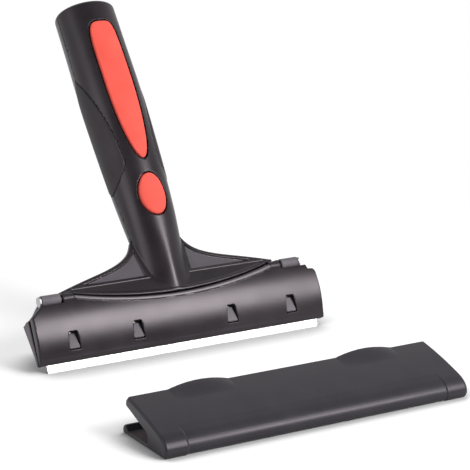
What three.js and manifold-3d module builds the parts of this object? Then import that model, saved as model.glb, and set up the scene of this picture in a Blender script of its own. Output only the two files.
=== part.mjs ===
// Wallpaper scraper: a wide blade held between two hinged jaws under a round handle,
// with its blade guard taken off and lying on the table in front of it.
//
// Millimetres. In the finished set +X runs along the blade, +Y from the guard to the handle and
// +Z up, with the origin on the table under the middle of the set. Two inner frames are used:
//   head frame    X along the blade, Y out of the back, Z up the blade from its cutting edge
//   handle frame  the same, but leaning back with the handle, Z up the handle's axis

import * as THREE from 'three';
import { mergeVertices } from 'three/addons/utils/BufferGeometryUtils.js';
import Module from 'manifold-3d';

const wasm = await Module();
wasm.setup();

// Stance in degrees: the head leans back from upright, the handle leans back from the head
const HEAD_LEAN = 25;
const HANDLE_LEAN = 11.2;

// Clearances
const FIT = 0.3;
const SLIDE_FIT = 0.35;
const SCREW_FIT = 0.3;
const SEAM = 0.9;

// Blade
const BLADE_LENGTH = 150;
const BLADE_HEIGHT = 20;
const BLADE_THICKNESS = 0.6;
const BLADE_REACH = 3.8;
const BEVEL_HEIGHT = 1.4;
const EDGE_THICKNESS = 0.12;

// Jaws: the front one has a face of one round curve, the rear one splays back from the blade
const JAW_OVERHANG = 4;
const JAW_WALL = 2.4;
const CREST_RADIUS = 37.2;
const CREST_HEIGHT = 18.9;
const CREST_DEPTH = 4.8;
const LIP_HEIGHT = 5.2;
const CORNER_HEIGHT = 26.8;
const REAR_SPLAY = 20.8;

// Upper corners of the rear jaw: inset from its end and height
const REAR_CORNER = [[0, 24.8], [5.5, 28.6], [12.2, 35.8]];

// The front jaw's upper right corner is stepped, the left one is a plain chamfer: inset and height
const RIGHT_CORNER = [[0, 27.8], [0.7, 29.2], [1.6, 29.6], [3.7, 29.7], [4.2, 32.1]];

// End walls that close the jaws beside the blade, with a narrow gap between them
const END_WALL = 2.4;
const END_GAP = 2.4;
const END_GAP_BACK = 0.7;
const END_TOP = 26.3;
const END_TOP_BACK = 4.6;

// Windows in the front jaw, and the ramp pegs of the rear jaw that show in them
const WINDOW_END_MARGIN = 18.8;
const WINDOW_SPACING = 34.2;
const WINDOW_TOP_HALF = 2.1;
const WINDOW_FOOT_HALF = 3.1;
const WINDOW_HEIGHT = 8.6;
const WINDOW_RISE = 5.2;
const PEG_SINK = 0.1;
const PEG_RAMP = 0.5;
const PEG_FOOT_GAP = 0.45;
const PEG_TOP_GAP = 0.8;
const BED_WIDTH = 9;
const BED_TOP_INSET = 0.8;

// Hinge at both ends of the head
const HINGE_HEIGHT = 34.2;
const HINGE_BACK = 0.6;
const BARREL_RADIUS = 2.8;
const BARREL_LENGTH = 9.8;
const BARREL_INSET = 7.7;
const BARREL_WEB = 3.2;
const BARREL_WEB_LENGTH = 5;
const BARREL_LAP = 0.7;
const WEB_INNER = 54;
const WEB_FRONT = 5;
const KNUCKLE_RADIUS = 2.3;
const KNUCKLE_LENGTH = 6;
const KNUCKLE_GAP = 0.9;
const PIN_RADIUS = 1.2;
const PIN_HEAD_RADIUS = 2.5;
const PIN_HEAD_HEIGHT = 0.8;

// Tail of the front jaw, which the push rod presses
const TAIL_WIDTH = 8;
const TAIL_HEIGHT = 32;
const TAIL_ARM = 3;
const TAIL_ARM_TOP = 24.5;
const TAIL_FRONT = 3.2;
const TAIL_BACK = 7.4;

// Wings of the handle and the apron below them
const WING_TIP_GAP = 2.7;
const WING_TIP_HEIGHT = 37.8;
const WING_TIP_THICKNESS = 0.8;
const WING_ROOT = [13.4, 61.5];
const WING_SWEEP = [14.6, 45.6];
const WING_REACH = [31.5, 46.3];
const WING_FRONT = 2.6;
const WING_BACK = 11;
const WING_LEAN = 20;
const WING_RIM = 2;
const RIB_HEIGHT = 38.2;
const RIB_BAND = 1.2;
const PANEL_DEPTH = 1.2;
const PANEL_BORDER = 1.4;
const APRON_MID = 28.9;
const APRON_FOOT = 28;
const APRON_FLARE = 6.2;
const APRON_WALL = 2.4;

// Handle: where its axis starts in the head frame, and its half sizes at stations up the axis
const HANDLE_START_BACK = 4.6;
const HANDLE_START_UP = 30.7;
const HANDLE_LENGTH = 156;
const HANDLE_WALL = 3.2;
const BUTT_ROUND = 1.8;
const BUTT_WALL = 4;
const STATIONS = [
  { at: -8, side: 11.3, front: 6.5, back: 8 },
  { at: 14, side: 12.2, front: 9.6, back: 10.4 },
  { at: 46, side: 14.4, front: 13, back: 13.6 },
  { at: 72, side: 15.4, front: 14.8, back: 15.4 },
  { at: 106, side: 16.2, front: 15.6, back: 16.2 },
  { at: 134, side: 15.9, front: 14.9, back: 16.1 },
  { at: HANDLE_LENGTH, side: 15.8, front: 14, back: 16 },
];

// Down the neck the oval front of the handle turns into a keel
const KEEL_FROM = 42;
const KEEL_FULL = 2;
const KEEL_POWER = 1.3;
const KEEL_RADIUS = 4.5;

// Coloured inlay on the front of the grip
const INLAY_LOW = 66;
const INLAY_BELLY = 110;
const INLAY_HIGH = 143.4;
const INLAY_HALF = 7.4;
const INLAY_END_POWER = 5;
const INLAY_DEPTH = 1.9;
const INLAY_PROUD = 0.35;
const INLAY_GROOVE = 0.4;

// Leaf-shaped grip pads on both sides
const PAD_LOW = 53.6;
const PAD_BELLY = 68;
const PAD_HIGH = 118;
const PAD_HALF = 12;
const PAD_INNER = 6.6;
const PAD_CENTRE_BACK = 0.7;
const PAD_DEPTH = 1.9;
const PAD_PROUD = 0.2;

// Release button, its flange, the prong behind it and its spring
const BUTTON_CENTRE = 47;
const BUTTON_HALF_WIDTH = 6.9;
const BUTTON_HALF_LENGTH = 10.8;
const BUTTON_PROUD = 0.5;
const BUTTON_BACK = -3.6;
const BUTTON_FLANGE = 1.2;
const BUTTON_TRAVEL = 3.2;
const PRONG_HALF = 2.6;
const PRONG_END = 3;
const PRONG_TOP = 52;
const SPRING_SEAT = 56;
const SPRING_POST_RADIUS = 3.2;
const SPRING_LENGTH = 8.3;
const SPRING_RADIUS = 2.3;
const SPRING_WIRE = 0.7;
const SPRING_TURNS = 6;
const SPIGOT_LENGTH = 2;

// Push rod between the button's ramp and the jaw's tail
const ROD_HALF = 2.6;
const RAMP_START = 45;
const RAMP_SLOPE = 0.5;
const ROD_FOOT_GAP = 0.35;
const GUIDE_LOW = 22;
const GUIDE_HEIGHT = 3;

// Springs that pull the jaws together
const JAW_SPRING_X = 41;
const JAW_SPRING_HEIGHT = 24.5;
const JAW_SPRING_RADIUS = 2;
const JAW_SPRING_WIRE = 0.6;
const JAW_SPRING_TURNS = 6;
const JAW_STUD_RADIUS = 1.2;
const JAW_STUD_LENGTH = 1.6;

// Screws
const LOWER_SCREW_AT = 86;
const UPPER_SCREW_INSET = 28;
const HANDLE_SCREW_SEAT = 8;
const HANDLE_SCREW_TIP = -8.5;
const HANDLE_POST_RADIUS = 4.6;
const JAW_SCREWS_AT = [[20, 43.5], [35, 40.1]];
const JAW_SCREW_TIP = 7.4;
const SCREW_RADIUS = 1.45;
const SCREW_HEAD_RADIUS = 2.5;
const SCREW_HEAD_HEIGHT = 2;
const SCREW_SLOT_WIDTH = 0.8;
const SCREW_SLOT_DEPTH = 1;
const SCREW_TIP_LENGTH = 1.2;

// Blade guard lying on the table, with two finger bumps on the back edge of its top
const GUARD_LENGTH = 155;
const GUARD_X = -3.1;
const GUARD_FRONT = -125.1;
const GUARD_TOP_DEPTH = 33.1;
const GUARD_BASE_DEPTH = 38;
const GUARD_HEIGHT = 17.6;
const GUARD_NOSE = [[5, 9.7], [0.2, 7.9], [-3.3, 3.4], [0.6, 0]];
const GUARD_CROWN = 0.57;
const GUARD_TOP_WALL = 4.6;
const GUARD_FLOOR = 1.6;
const GUARD_LIP_HEIGHT = 3.9;
const GUARD_LIP_DEPTH = 2.4;
const GUARD_BACK_BEVEL = 2;
const GUARD_POCKET = 15.7;
const GUARD_POCKET_HEIGHT = 6.7;
const GUARD_SLOT_DEPTH = 6;
const GUARD_SLOT_HEIGHT = 1.6;
const GUARD_SLOT_END = 2;
const BUMP_CENTRE = 43;
const BUMP_HALF = 15;
const BUMP_HEIGHT = 2.1;
const BUMP_DEPTH = 10;

// How finely round shapes are cut
const BAR_SIDES = 30;
const BAR_STEP = 12;
const ROUND_SIDES = 16;
const ARC_STEPS = 10;
const CURVE_STEPS = 12;
const WIRE_SIDES = 5;
const CURL_STEPS = 8;
const CROWN_STEPS = 5;
const FAR = 300;

// Finishes
const BLACK_PLASTIC = { color: 0x3d393e, roughness: 0.5, metalness: 0 };
const BLACK_RUBBER = { color: 0x343135, roughness: 0.75, metalness: 0 };
const RED_RUBBER = { color: 0xfb6a5a, roughness: 0.6, metalness: 0 };
const BRIGHT_STEEL = { color: 0xe9e6e3, roughness: 0.3, metalness: 0.9 };
const ZINC_STEEL = { color: 0xb4b2b3, roughness: 0.35, metalness: 0.9 };
const NATURAL_NYLON = { color: 0xd8d4c8, roughness: 0.6, metalness: 0 };

// Sizes worked out from the driving ones
const jawHalf = BLADE_LENGTH / 2 + JAW_OVERHANG;
const bladeFace = BLADE_THICKNESS / 2;
const seatBack = bladeFace + FIT;
const barrelOuter = jawHalf - BARREL_INSET;
const barrelInner = barrelOuter - BARREL_LENGTH;
const knuckleOuter = barrelInner - KNUCKLE_GAP;
const knuckleInner = knuckleOuter - KNUCKLE_LENGTH;
const wingHalf = barrelInner - WING_TIP_GAP;
const apronTip = WING_TIP_HEIGHT - WING_TIP_THICKNESS;
const shoulderHeight = HINGE_HEIGHT - BARREL_RADIUS + BARREL_LAP;
const windowLow = BLADE_REACH + WINDOW_RISE;
const windowHigh = windowLow + WINDOW_HEIGHT;
const windowPlaces = [
  -(jawHalf - WINDOW_END_MARGIN),
  -(jawHalf - WINDOW_END_MARGIN - WINDOW_SPACING),
  jawHalf - WINDOW_END_MARGIN - WINDOW_SPACING,
  jawHalf - WINDOW_END_MARGIN,
];
const splaySlope = Math.tan(rad(REAR_SPLAY));
const crestCentreBack = CREST_RADIUS - CREST_DEPTH;
const flangeFront = WING_BACK + FIT;
const flangeBack = flangeFront + JAW_WALL;
const splayStart = BLADE_REACH + LIP_HEIGHT;
const splayEnd = splayStart + (flangeFront - seatBack) / splaySlope;
const buttonPocketDepth = HANDLE_WALL + SLIDE_FIT;
const handleScrewsAt = [LOWER_SCREW_AT, HANDLE_LENGTH - UPPER_SCREW_INSET];

const HANDLE_TO_HEAD = new THREE.Matrix4()
  .makeTranslation(0, HANDLE_START_BACK, HANDLE_START_UP)
  .multiply(new THREE.Matrix4().makeRotationX(-rad(HANDLE_LEAN)));

function rad(degrees) {
  return THREE.MathUtils.degToRad(degrees);
}

// Closed solid from a closed three.js geometry
function solid(geometry) {
  const bare = geometry.clone();
  bare.deleteAttribute('normal');
  bare.deleteAttribute('uv');
  const merged = mergeVertices(bare, 1e-4);
  const corners = merged.attributes.position.array;
  const index = merged.index.array;
  const faces = [];
  let volume = 0;
  const at = (i) => new THREE.Vector3().fromArray(corners, 3 * i);
  for (let i = 0; i < index.length; i += 3) {
    const [a, b, c] = [index[i], index[i + 1], index[i + 2]];
    if (a === b || b === c || c === a) continue;
    faces.push(a, b, c);
    volume += at(a).dot(at(b).cross(at(c)));
  }
  if (volume < 0) faces.reverse();
  return new wasm.Manifold(new wasm.Mesh({
    numProp: 3,
    vertProperties: Float32Array.from(corners),
    triVerts: Uint32Array.from(faces),
  }));
}

// Named mesh of one solid, added to a group
function addPiece(group, name, shape, finish) {
  const { vertProperties, triVerts } = shape.getMesh();
  const geometry = new THREE.BufferGeometry();
  geometry.setAttribute('position', new THREE.BufferAttribute(vertProperties, 3));
  geometry.setIndex(new THREE.BufferAttribute(triVerts, 1));
  geometry.computeVertexNormals();
  const mesh = new THREE.Mesh(geometry, new THREE.MeshStandardMaterial(finish));
  mesh.name = name;
  group.add(mesh);
}

function outline(points) {
  return new THREE.Shape(points.map(([a, b]) => new THREE.Vector2(a, b)));
}

// Outline in x and z, pushed through from one y to another
function throughY(points, from, to) {
  const geometry = new THREE.ExtrudeGeometry(outline(points), { depth: to - from, bevelEnabled: false });
  return geometry.rotateX(Math.PI / 2).translate(0, to, 0);
}

// Outline in y and z, pushed through from one x to another
function throughX(points, from, to) {
  const geometry = new THREE.ExtrudeGeometry(outline(points), { depth: to - from, bevelEnabled: false });
  const turn = new THREE.Matrix4().makeBasis(
    new THREE.Vector3(0, 1, 0), new THREE.Vector3(0, 0, 1), new THREE.Vector3(1, 0, 0));
  return geometry.applyMatrix4(turn).translate(from, 0, 0);
}

function box(x0, x1, y0, y1, z0, z1) {
  const geometry = new THREE.BoxGeometry(x1 - x0, y1 - y0, z1 - z0);
  return geometry.translate((x0 + x1) / 2, (y0 + y1) / 2, (z0 + z1) / 2);
}

// Round bar along X, through the point y, z
function rodX(radius, from, to, y, z) {
  const geometry = new THREE.CylinderGeometry(radius, radius, to - from, ROUND_SIDES);
  return geometry.rotateZ(Math.PI / 2).translate((from + to) / 2, y, z);
}

// Round bar along Y, through the point x, z
function rodY(radius, from, to, x, z) {
  const geometry = new THREE.CylinderGeometry(radius, radius, to - from, ROUND_SIDES);
  return geometry.translate(x, (from + to) / 2, z);
}

// Closed skin over rings with the same number of points, each running the same way round
function loft(rings) {
  const count = rings[0].length;
  const corners = rings.flat();
  const middle = (ring) => ring.reduce((sum, p) => sum.add(p), new THREE.Vector3()).divideScalar(count);
  const first = corners.push(middle(rings[0])) - 1;
  const last = corners.push(middle(rings.at(-1))) - 1;
  const index = [];
  for (let k = 0; k < count; k += 1) {
    const next = (k + 1) % count;
    for (let i = 0; i + 1 < rings.length; i += 1) {
      const [a, b] = [i * count + k, i * count + next];
      index.push(a, b, b + count, a, b + count, a + count);
    }
    const top = (rings.length - 1) * count;
    index.push(first, next, k, last, top + k, top + next);
  }
  const geometry = new THREE.BufferGeometry().setFromPoints(corners);
  geometry.setIndex(index);
  return geometry;
}

// Half sizes of the handle at a height up its axis: a smooth curve through the stations
function barSize(height, key) {
  const last = STATIONS.length - 1;
  if (height <= STATIONS[0].at) return STATIONS[0][key];
  if (height >= STATIONS[last].at) return STATIONS[last][key];
  const i = STATIONS.findIndex((station) => station.at > height) - 1;
  const slope = (j) => {
    const [a, b] = [STATIONS[Math.max(j - 1, 0)], STATIONS[Math.min(j + 1, last)]];
    return (b[key] - a[key]) / (b.at - a.at);
  };
  const [low, high] = [STATIONS[i], STATIONS[i + 1]];
  const span = high.at - low.at;
  const t = (height - low.at) / span;
  const curve = (1 + 2 * t) * (1 - t) ** 2 * low[key] + t * t * (3 - 2 * t) * high[key];
  return curve + span * (t * (1 - t) ** 2 * slope(i) - t * t * (1 - t) * slope(i + 1));
}

// How full the front of the handle's section is: an oval has the power two, a keel less
function frontPower(height) {
  return KEEL_POWER + (2 - KEEL_POWER) * THREE.MathUtils.smoothstep(height, KEEL_FULL, KEEL_FROM);
}

// The section at a height: an oval whose front turns into a keel with a round nose
function barRing(height, grow) {
  return Array.from({ length: BAR_SIDES }, (_, k) => {
    const angle = (2 * Math.PI * k) / BAR_SIDES;
    const inFront = Math.cos(angle) > 0;
    const power = inFront ? frontPower(height) : 2;
    const nose = (KEEL_RADIUS * (2 - power)) / (2 - KEEL_POWER);
    const width = barSize(height, 'side') - nose;
    const depth = barSize(height, inFront ? 'front' : 'back') - nose;
    const pull = (value, bend) => Math.sign(value) * Math.abs(value) ** bend;
    const turn = 2 - 2 / power;
    const out = new THREE.Vector2(pull(Math.sin(angle), turn) / width, pull(Math.cos(angle), turn) / depth)
      .setLength(nose + grow);
    return new THREE.Vector3(
      width * pull(Math.sin(angle), 2 / power) + out.x, -depth * pull(Math.cos(angle), 2 / power) - out.y, height);
  });
}

// The handle's bar in the handle frame, grown or shrunk all round, with a rounded butt
function bar(grow, low = STATIONS[0].at, high = HANDLE_LENGTH + Math.max(grow, 0)) {
  const straight = high - BUTT_ROUND;
  const steps = Math.ceil((straight - low) / BAR_STEP);
  const rings = Array.from({ length: steps + 1 }, (_, i) => barRing(low + ((straight - low) * i) / steps, grow));
  for (const turn of [30, 60, 90].map(rad)) {
    const ring = barRing(straight, grow - BUTT_ROUND * (1 - Math.cos(turn)));
    rings.push(ring.map((p) => p.setZ(straight + BUTT_ROUND * Math.sin(turn))));
  }
  return loft(rings);
}

function inHead(geometry) {
  return solid(geometry.applyMatrix4(HANDLE_TO_HEAD));
}

function curvePoints(curve, steps = CURVE_STEPS) {
  return curve.getPoints(steps).map((p) => [p.x, p.y]);
}

// Upper edge of the right wing from the neck to the tip, moved in by an inset
function wingEdge(inset) {
  const corners = [WING_ROOT, WING_SWEEP, WING_REACH, [wingHalf, WING_TIP_HEIGHT]];
  const curve = new THREE.CubicBezierCurve(...corners.map(([x, z]) => new THREE.Vector2(x, z)));
  return Array.from({ length: CURVE_STEPS + 1 }, (_, i) => {
    const p = curve.getPoint(i / CURVE_STEPS);
    const along = curve.getTangent(i / CURVE_STEPS);
    return [p.x + inset * along.y, p.y - inset * along.x];
  });
}

// Lower edge of the apron across the whole head, from right to left
function apronEdge(drop, half = wingHalf) {
  const rise = (apronTip - APRON_MID) * (half / wingHalf) ** 2;
  return curvePoints(new THREE.QuadraticBezierCurve(
    new THREE.Vector2(half, APRON_MID - drop + rise),
    new THREE.Vector2(0, APRON_MID - drop - rise),
    new THREE.Vector2(-half, APRON_MID - drop + rise)), 2 * ARC_STEPS);
}

function mirrored(points) {
  return points.map(([x, z]) => [-x, z]).reverse();
}

// Section of the curved front jaw at one radius, from the lip to the top
function crestArc(radius, top) {
  return Array.from({ length: ARC_STEPS + 1 }, (_, i) => {
    const z = BLADE_REACH + ((top - BLADE_REACH) * i) / ARC_STEPS;
    return [crestCentreBack - Math.sqrt(radius ** 2 - (z - CREST_HEIGHT) ** 2), z];
  });
}

// Window in x and z about its centre line, narrower at the top, with its sides moved in
function windowOutline(x, inset, low, high) {
  const half = (z) => WINDOW_FOOT_HALF - inset
    - ((WINDOW_FOOT_HALF - WINDOW_TOP_HALF) * (z - windowLow)) / WINDOW_HEIGHT;
  return [[x - half(low), low], [x + half(low), low], [x + half(high), high], [x - half(high), high]];
}

function rearFace(height) {
  return seatBack + Math.max(height - splayStart, 0) * splaySlope;
}

// One unbroken helical wire round the Y axis, starting at y = 0, with its least gap to itself
function coil(name, length, radius, wire, turns) {
  const steps = turns * CURL_STEPS;
  const pitch = (length - wire) / turns;
  const path = Array.from({ length: steps + 1 }, (_, i) => {
    const angle = (2 * Math.PI * i) / CURL_STEPS;
    return new THREE.Vector3(
      radius * Math.cos(angle), wire / 2 + (pitch * i) / CURL_STEPS, radius * Math.sin(angle));
  });
  let least = Infinity;
  path.forEach((p, i) => path.slice(i + CURL_STEPS / 2).forEach((q) => {
    least = Math.min(least, p.distanceTo(q) - wire);
  }));
  console.log(`${name}: least gap between turns ${least.toFixed(2)} mm`);
  const rings = path.map((p, i) => {
    const angle = (2 * Math.PI * i) / CURL_STEPS;
    const out = new THREE.Vector3(Math.cos(angle), 0, Math.sin(angle));
    const up = new THREE.Vector3(0, 1, 0);
    return Array.from({ length: WIRE_SIDES }, (_, k) => {
      const turn = (2 * Math.PI * k) / WIRE_SIDES;
      return p.clone()
        .addScaledVector(out, (wire / 2) * Math.cos(turn))
        .addScaledVector(up, (wire / 2) * Math.sin(turn));
    });
  });
  return loft(rings);
}

// Cross-head screw along Y with its head seated at y = 0 and its tip at minus the length
function screw(length) {
  const profile = [
    [0, -length], [SCREW_RADIUS * 0.4, -length], [SCREW_RADIUS, -length + SCREW_TIP_LENGTH],
    [SCREW_RADIUS, 0], [SCREW_HEAD_RADIUS, 0], [SCREW_HEAD_RADIUS, SCREW_HEAD_HEIGHT * 0.6],
    [SCREW_HEAD_RADIUS * 0.7, SCREW_HEAD_HEIGHT], [0, SCREW_HEAD_HEIGHT],
  ];
  const body = solid(new THREE.LatheGeometry(profile.map(([r, y]) => new THREE.Vector2(r, y)), ROUND_SIDES));
  const reach = SCREW_HEAD_RADIUS * 0.62;
  const half = SCREW_SLOT_WIDTH / 2;
  const low = SCREW_HEAD_HEIGHT - SCREW_SLOT_DEPTH;
  return body
    .subtract(solid(box(-reach, reach, low, SCREW_HEAD_HEIGHT + 1, -half, half)))
    .subtract(solid(box(-half, half, low, SCREW_HEAD_HEIGHT + 1, -reach, reach)));
}

function inlayOutline(grow) {
  const steps = 2 * CURVE_STEPS;
  const half = INLAY_HALF + grow;
  const right = Array.from({ length: steps + 1 }, (_, i) => {
    const turn = (Math.PI * i) / steps - Math.PI / 2;
    const power = turn < 0 ? 1 : 2 / INLAY_END_POWER;
    const reach = turn < 0 ? INLAY_BELLY - INLAY_LOW + grow : INLAY_HIGH - INLAY_BELLY + grow;
    const rise = Math.sign(turn) * Math.abs(Math.sin(turn)) ** power;
    return [half * Math.cos(turn) ** power, INLAY_BELLY + reach * rise];
  });
  return [...right, ...mirrored(right).slice(1, -1)];
}

function ellipse(halfWidth, halfLength, centre) {
  return Array.from({ length: 2 * ROUND_SIDES }, (_, k) => {
    const turn = (Math.PI * k) / ROUND_SIDES;
    return [halfWidth * Math.cos(turn), centre + halfLength * Math.sin(turn)];
  });
}

// Side view of a grip pad, in y and z of the handle frame
function padOutline(grow) {
  const half = PAD_HALF + grow;
  const [low, high] = [PAD_LOW - grow, PAD_HIGH + grow];
  const upper = new THREE.CubicBezierCurve(
    new THREE.Vector2(0, high), new THREE.Vector2(-0.8 * half, high - 11),
    new THREE.Vector2(-half, PAD_BELLY + 18), new THREE.Vector2(-half, PAD_BELLY));
  const lower = new THREE.CubicBezierCurve(
    new THREE.Vector2(-half, PAD_BELLY), new THREE.Vector2(-half, PAD_BELLY - 7),
    new THREE.Vector2(-0.4 * half, low + 0.5), new THREE.Vector2(0, low));
  const front = [...curvePoints(upper, 10), ...curvePoints(lower, 8).slice(1)];
  const whole = [...front, ...mirrored(front).slice(1, -1)];
  return whole.map(([y, z]) => [y + PAD_CENTRE_BACK, z]);
}

// Cuts that both casings share, in the head frame
function casingCuts() {
  const under = (depth) => solid(bar(-depth, STATIONS[0].at - 1, HANDLE_LENGTH - depth));
  const recess = (depth, tool) => tool.subtract(under(depth));
  const inlay = recess(INLAY_DEPTH + FIT,
    solid(throughY(inlayOutline(INLAY_GROOVE), -FAR, 0)));
  const nearest = PAD_INNER - FIT;
  const pads = [[-FAR, -nearest], [nearest, FAR]].map((reach) => recess(PAD_DEPTH + FIT,
    solid(throughX(padOutline(FIT), ...reach))));
  const button = solid(throughY(
    ellipse(BUTTON_HALF_WIDTH + SLIDE_FIT, BUTTON_HALF_LENGTH + SLIDE_FIT, BUTTON_CENTRE), -FAR, 0));
  const screws = handleScrewsAt.map((at) =>
    solid(rodY(SCREW_RADIUS + SCREW_FIT, HANDLE_SCREW_TIP - FIT, FAR, 0, at))
      .add(solid(rodY(SCREW_HEAD_RADIUS + SCREW_FIT, HANDLE_SCREW_SEAT, FAR, 0, at))));
  return [inlay, ...pads, button, ...screws].map(toHead);
}

// Moves a solid from the handle frame into the head frame
function toHead(shape) {
  const { vertProperties, triVerts } = shape.getMesh();
  const geometry = new THREE.BufferGeometry();
  geometry.setAttribute('position', new THREE.BufferAttribute(vertProperties, 3));
  geometry.setIndex(new THREE.BufferAttribute(triVerts, 1));
  return inHead(geometry);
}

// Hollow of the handle, with the screw posts, the spring's post and the rod's guide left standing
function handleHollow() {
  const guide = box(-FAR, FAR, -FAR, FAR, GUIDE_LOW, GUIDE_LOW + GUIDE_HEIGHT);
  const channel = ROD_HALF + SLIDE_FIT;
  let hollow = solid(bar(-HANDLE_WALL, STATIONS[0].at - 2 * HANDLE_WALL, HANDLE_LENGTH - BUTT_WALL))
    .subtract(solid(guide))
    .add(solid(box(-channel, channel, -channel, channel, GUIDE_LOW - 1, GUIDE_LOW + GUIDE_HEIGHT + 1)));
  for (const at of handleScrewsAt) {
    hollow = hollow.subtract(solid(rodY(HANDLE_POST_RADIUS, -FAR, FAR, 0, at)));
  }
  const seat = BUTTON_BACK + SPRING_LENGTH + 2 * FIT;
  hollow = hollow
    .subtract(solid(rodY(SPRING_POST_RADIUS, seat, FAR, 0, SPRING_SEAT)))
    .subtract(solid(rodY(SPRING_RADIUS - SPRING_WIRE / 2 - FIT, seat - SPIGOT_LENGTH, FAR, 0, SPRING_SEAT)));
  return toHead(hollow);
}

function handleHalf(side, gap) {
  return inHead(box(-FAR, FAR, side < 0 ? -FAR : gap, side < 0 ? -gap : FAR, -FAR, FAR));
}

// Wings and apron in the head frame, with the panels sunk into their front
function wings() {
  const lean = Math.hypot(APRON_FLARE, RIB_HEIGHT - APRON_FOOT);
  const inY = (APRON_WALL * (RIB_HEIGHT - APRON_FOOT)) / lean;
  const inZ = (APRON_WALL * APRON_FLARE) / lean;
  const peak = RIB_HEIGHT + (WING_BACK - WING_FRONT) / Math.tan(rad(WING_LEAN));
  const section = [
    [WING_BACK, peak], [WING_FRONT, RIB_HEIGHT],
    [WING_FRONT - APRON_FLARE, APRON_FOOT], [WING_FRONT - APRON_FLARE + inY, APRON_FOOT - inZ],
    [WING_FRONT + inY, RIB_HEIGHT - inZ], [WING_BACK, RIB_HEIGHT - inZ],
  ];
  const edge = wingEdge(0);
  const face = [...edge, ...apronEdge(0), ...mirrored(edge)];
  const sunk = wingEdge(WING_RIM);
  const base = RIB_HEIGHT + RIB_BAND;
  const panels = solid(throughY([...sunk, ...mirrored(sunk)], -FAR, FAR))
    .intersect(solid(throughX([
      [WING_FRONT + PANEL_DEPTH, base], [WING_BACK + PANEL_DEPTH, peak + base - RIB_HEIGHT],
      [-FAR, FAR], [-FAR, base],
    ], -wingHalf, wingHalf)))
    .subtract(inHead(bar(PANEL_BORDER)));
  let shape = solid(throughX(section, -wingHalf, wingHalf))
    .intersect(solid(throughY(face, -FAR, FAR)))
    .subtract(panels);
  for (const side of [-1, 1]) {
    const knuckle = [side * (knuckleInner - FIT), side * (knuckleOuter + FIT)].sort((a, b) => a - b);
    shape = shape.subtract(solid(rodX(KNUCKLE_RADIUS + 2 * FIT, ...knuckle, HINGE_BACK, HINGE_HEIGHT)));
    for (const [x, z] of JAW_SCREWS_AT) {
      shape = shape.subtract(solid(rodY(SCREW_RADIUS + SCREW_FIT, JAW_SCREW_TIP - FIT, FAR, side * x, z)));
    }
  }
  return shape;
}

function buildCasings(group) {
  const aboveApron = solid(throughY([[wingHalf, FAR], ...apronEdge(0), [-wingHalf, FAR]], -FAR, FAR));
  const hollow = handleHollow();
  const rearFloor = RIB_HEIGHT - APRON_WALL * APRON_FLARE / Math.hypot(APRON_FLARE, RIB_HEIGHT - APRON_FOOT) + FIT;
  const rearRoom = inHead(bar(FIT)).intersect(handleHalf(1, -FIT / 2));
  let front = inHead(bar(0)).intersect(handleHalf(-1, FIT / 2)).intersect(aboveApron)
    .add(wings().subtract(rearRoom))
    .subtract(hollow);
  let rear = inHead(bar(0)).intersect(handleHalf(1, FIT / 2))
    .intersect(solid(box(-FAR, FAR, -FAR, FAR, rearFloor, FAR)))
    .subtract(hollow);
  for (const cut of casingCuts()) {
    front = front.subtract(cut);
    rear = rear.subtract(cut);
  }
  addPiece(group, 'handle_front_shell', front, BLACK_PLASTIC);
  addPiece(group, 'handle_rear_shell', rear, BLACK_PLASTIC);
}

function buildGrip(group) {
  const inlay = solid(throughY(inlayOutline(0), -FAR, 0))
    .intersect(solid(bar(INLAY_PROUD)))
    .subtract(solid(bar(-INLAY_DEPTH, STATIONS[0].at - 1, HANDLE_LENGTH - INLAY_DEPTH)));
  addPiece(group, 'grip_inlay', inlay, RED_RUBBER);
  for (const [name, ...reach] of [['grip_pad_left', -FAR, -PAD_INNER], ['grip_pad_right', PAD_INNER, FAR]]) {
    const pad = solid(throughX(padOutline(0), ...reach))
      .intersect(solid(bar(PAD_PROUD)))
      .subtract(solid(bar(-PAD_DEPTH, STATIONS[0].at - 1, HANDLE_LENGTH - PAD_DEPTH)));
    addPiece(group, name, pad, BLACK_RUBBER);
  }
  handleScrewsAt.forEach((at, i) => {
    const length = HANDLE_SCREW_SEAT + FIT - HANDLE_SCREW_TIP;
    const mesh = new THREE.Group();
    mesh.position.set(0, HANDLE_SCREW_SEAT + FIT, at);
    addPiece(mesh, `handle_screw_${i + 1}`, screw(length), ZINC_STEEL);
    group.add(mesh);
  });
}

// Ramp between the prong and the rod: its height up the handle at a depth y
function rampHeight(y) {
  return RAMP_START + RAMP_SLOPE * y;
}

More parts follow.
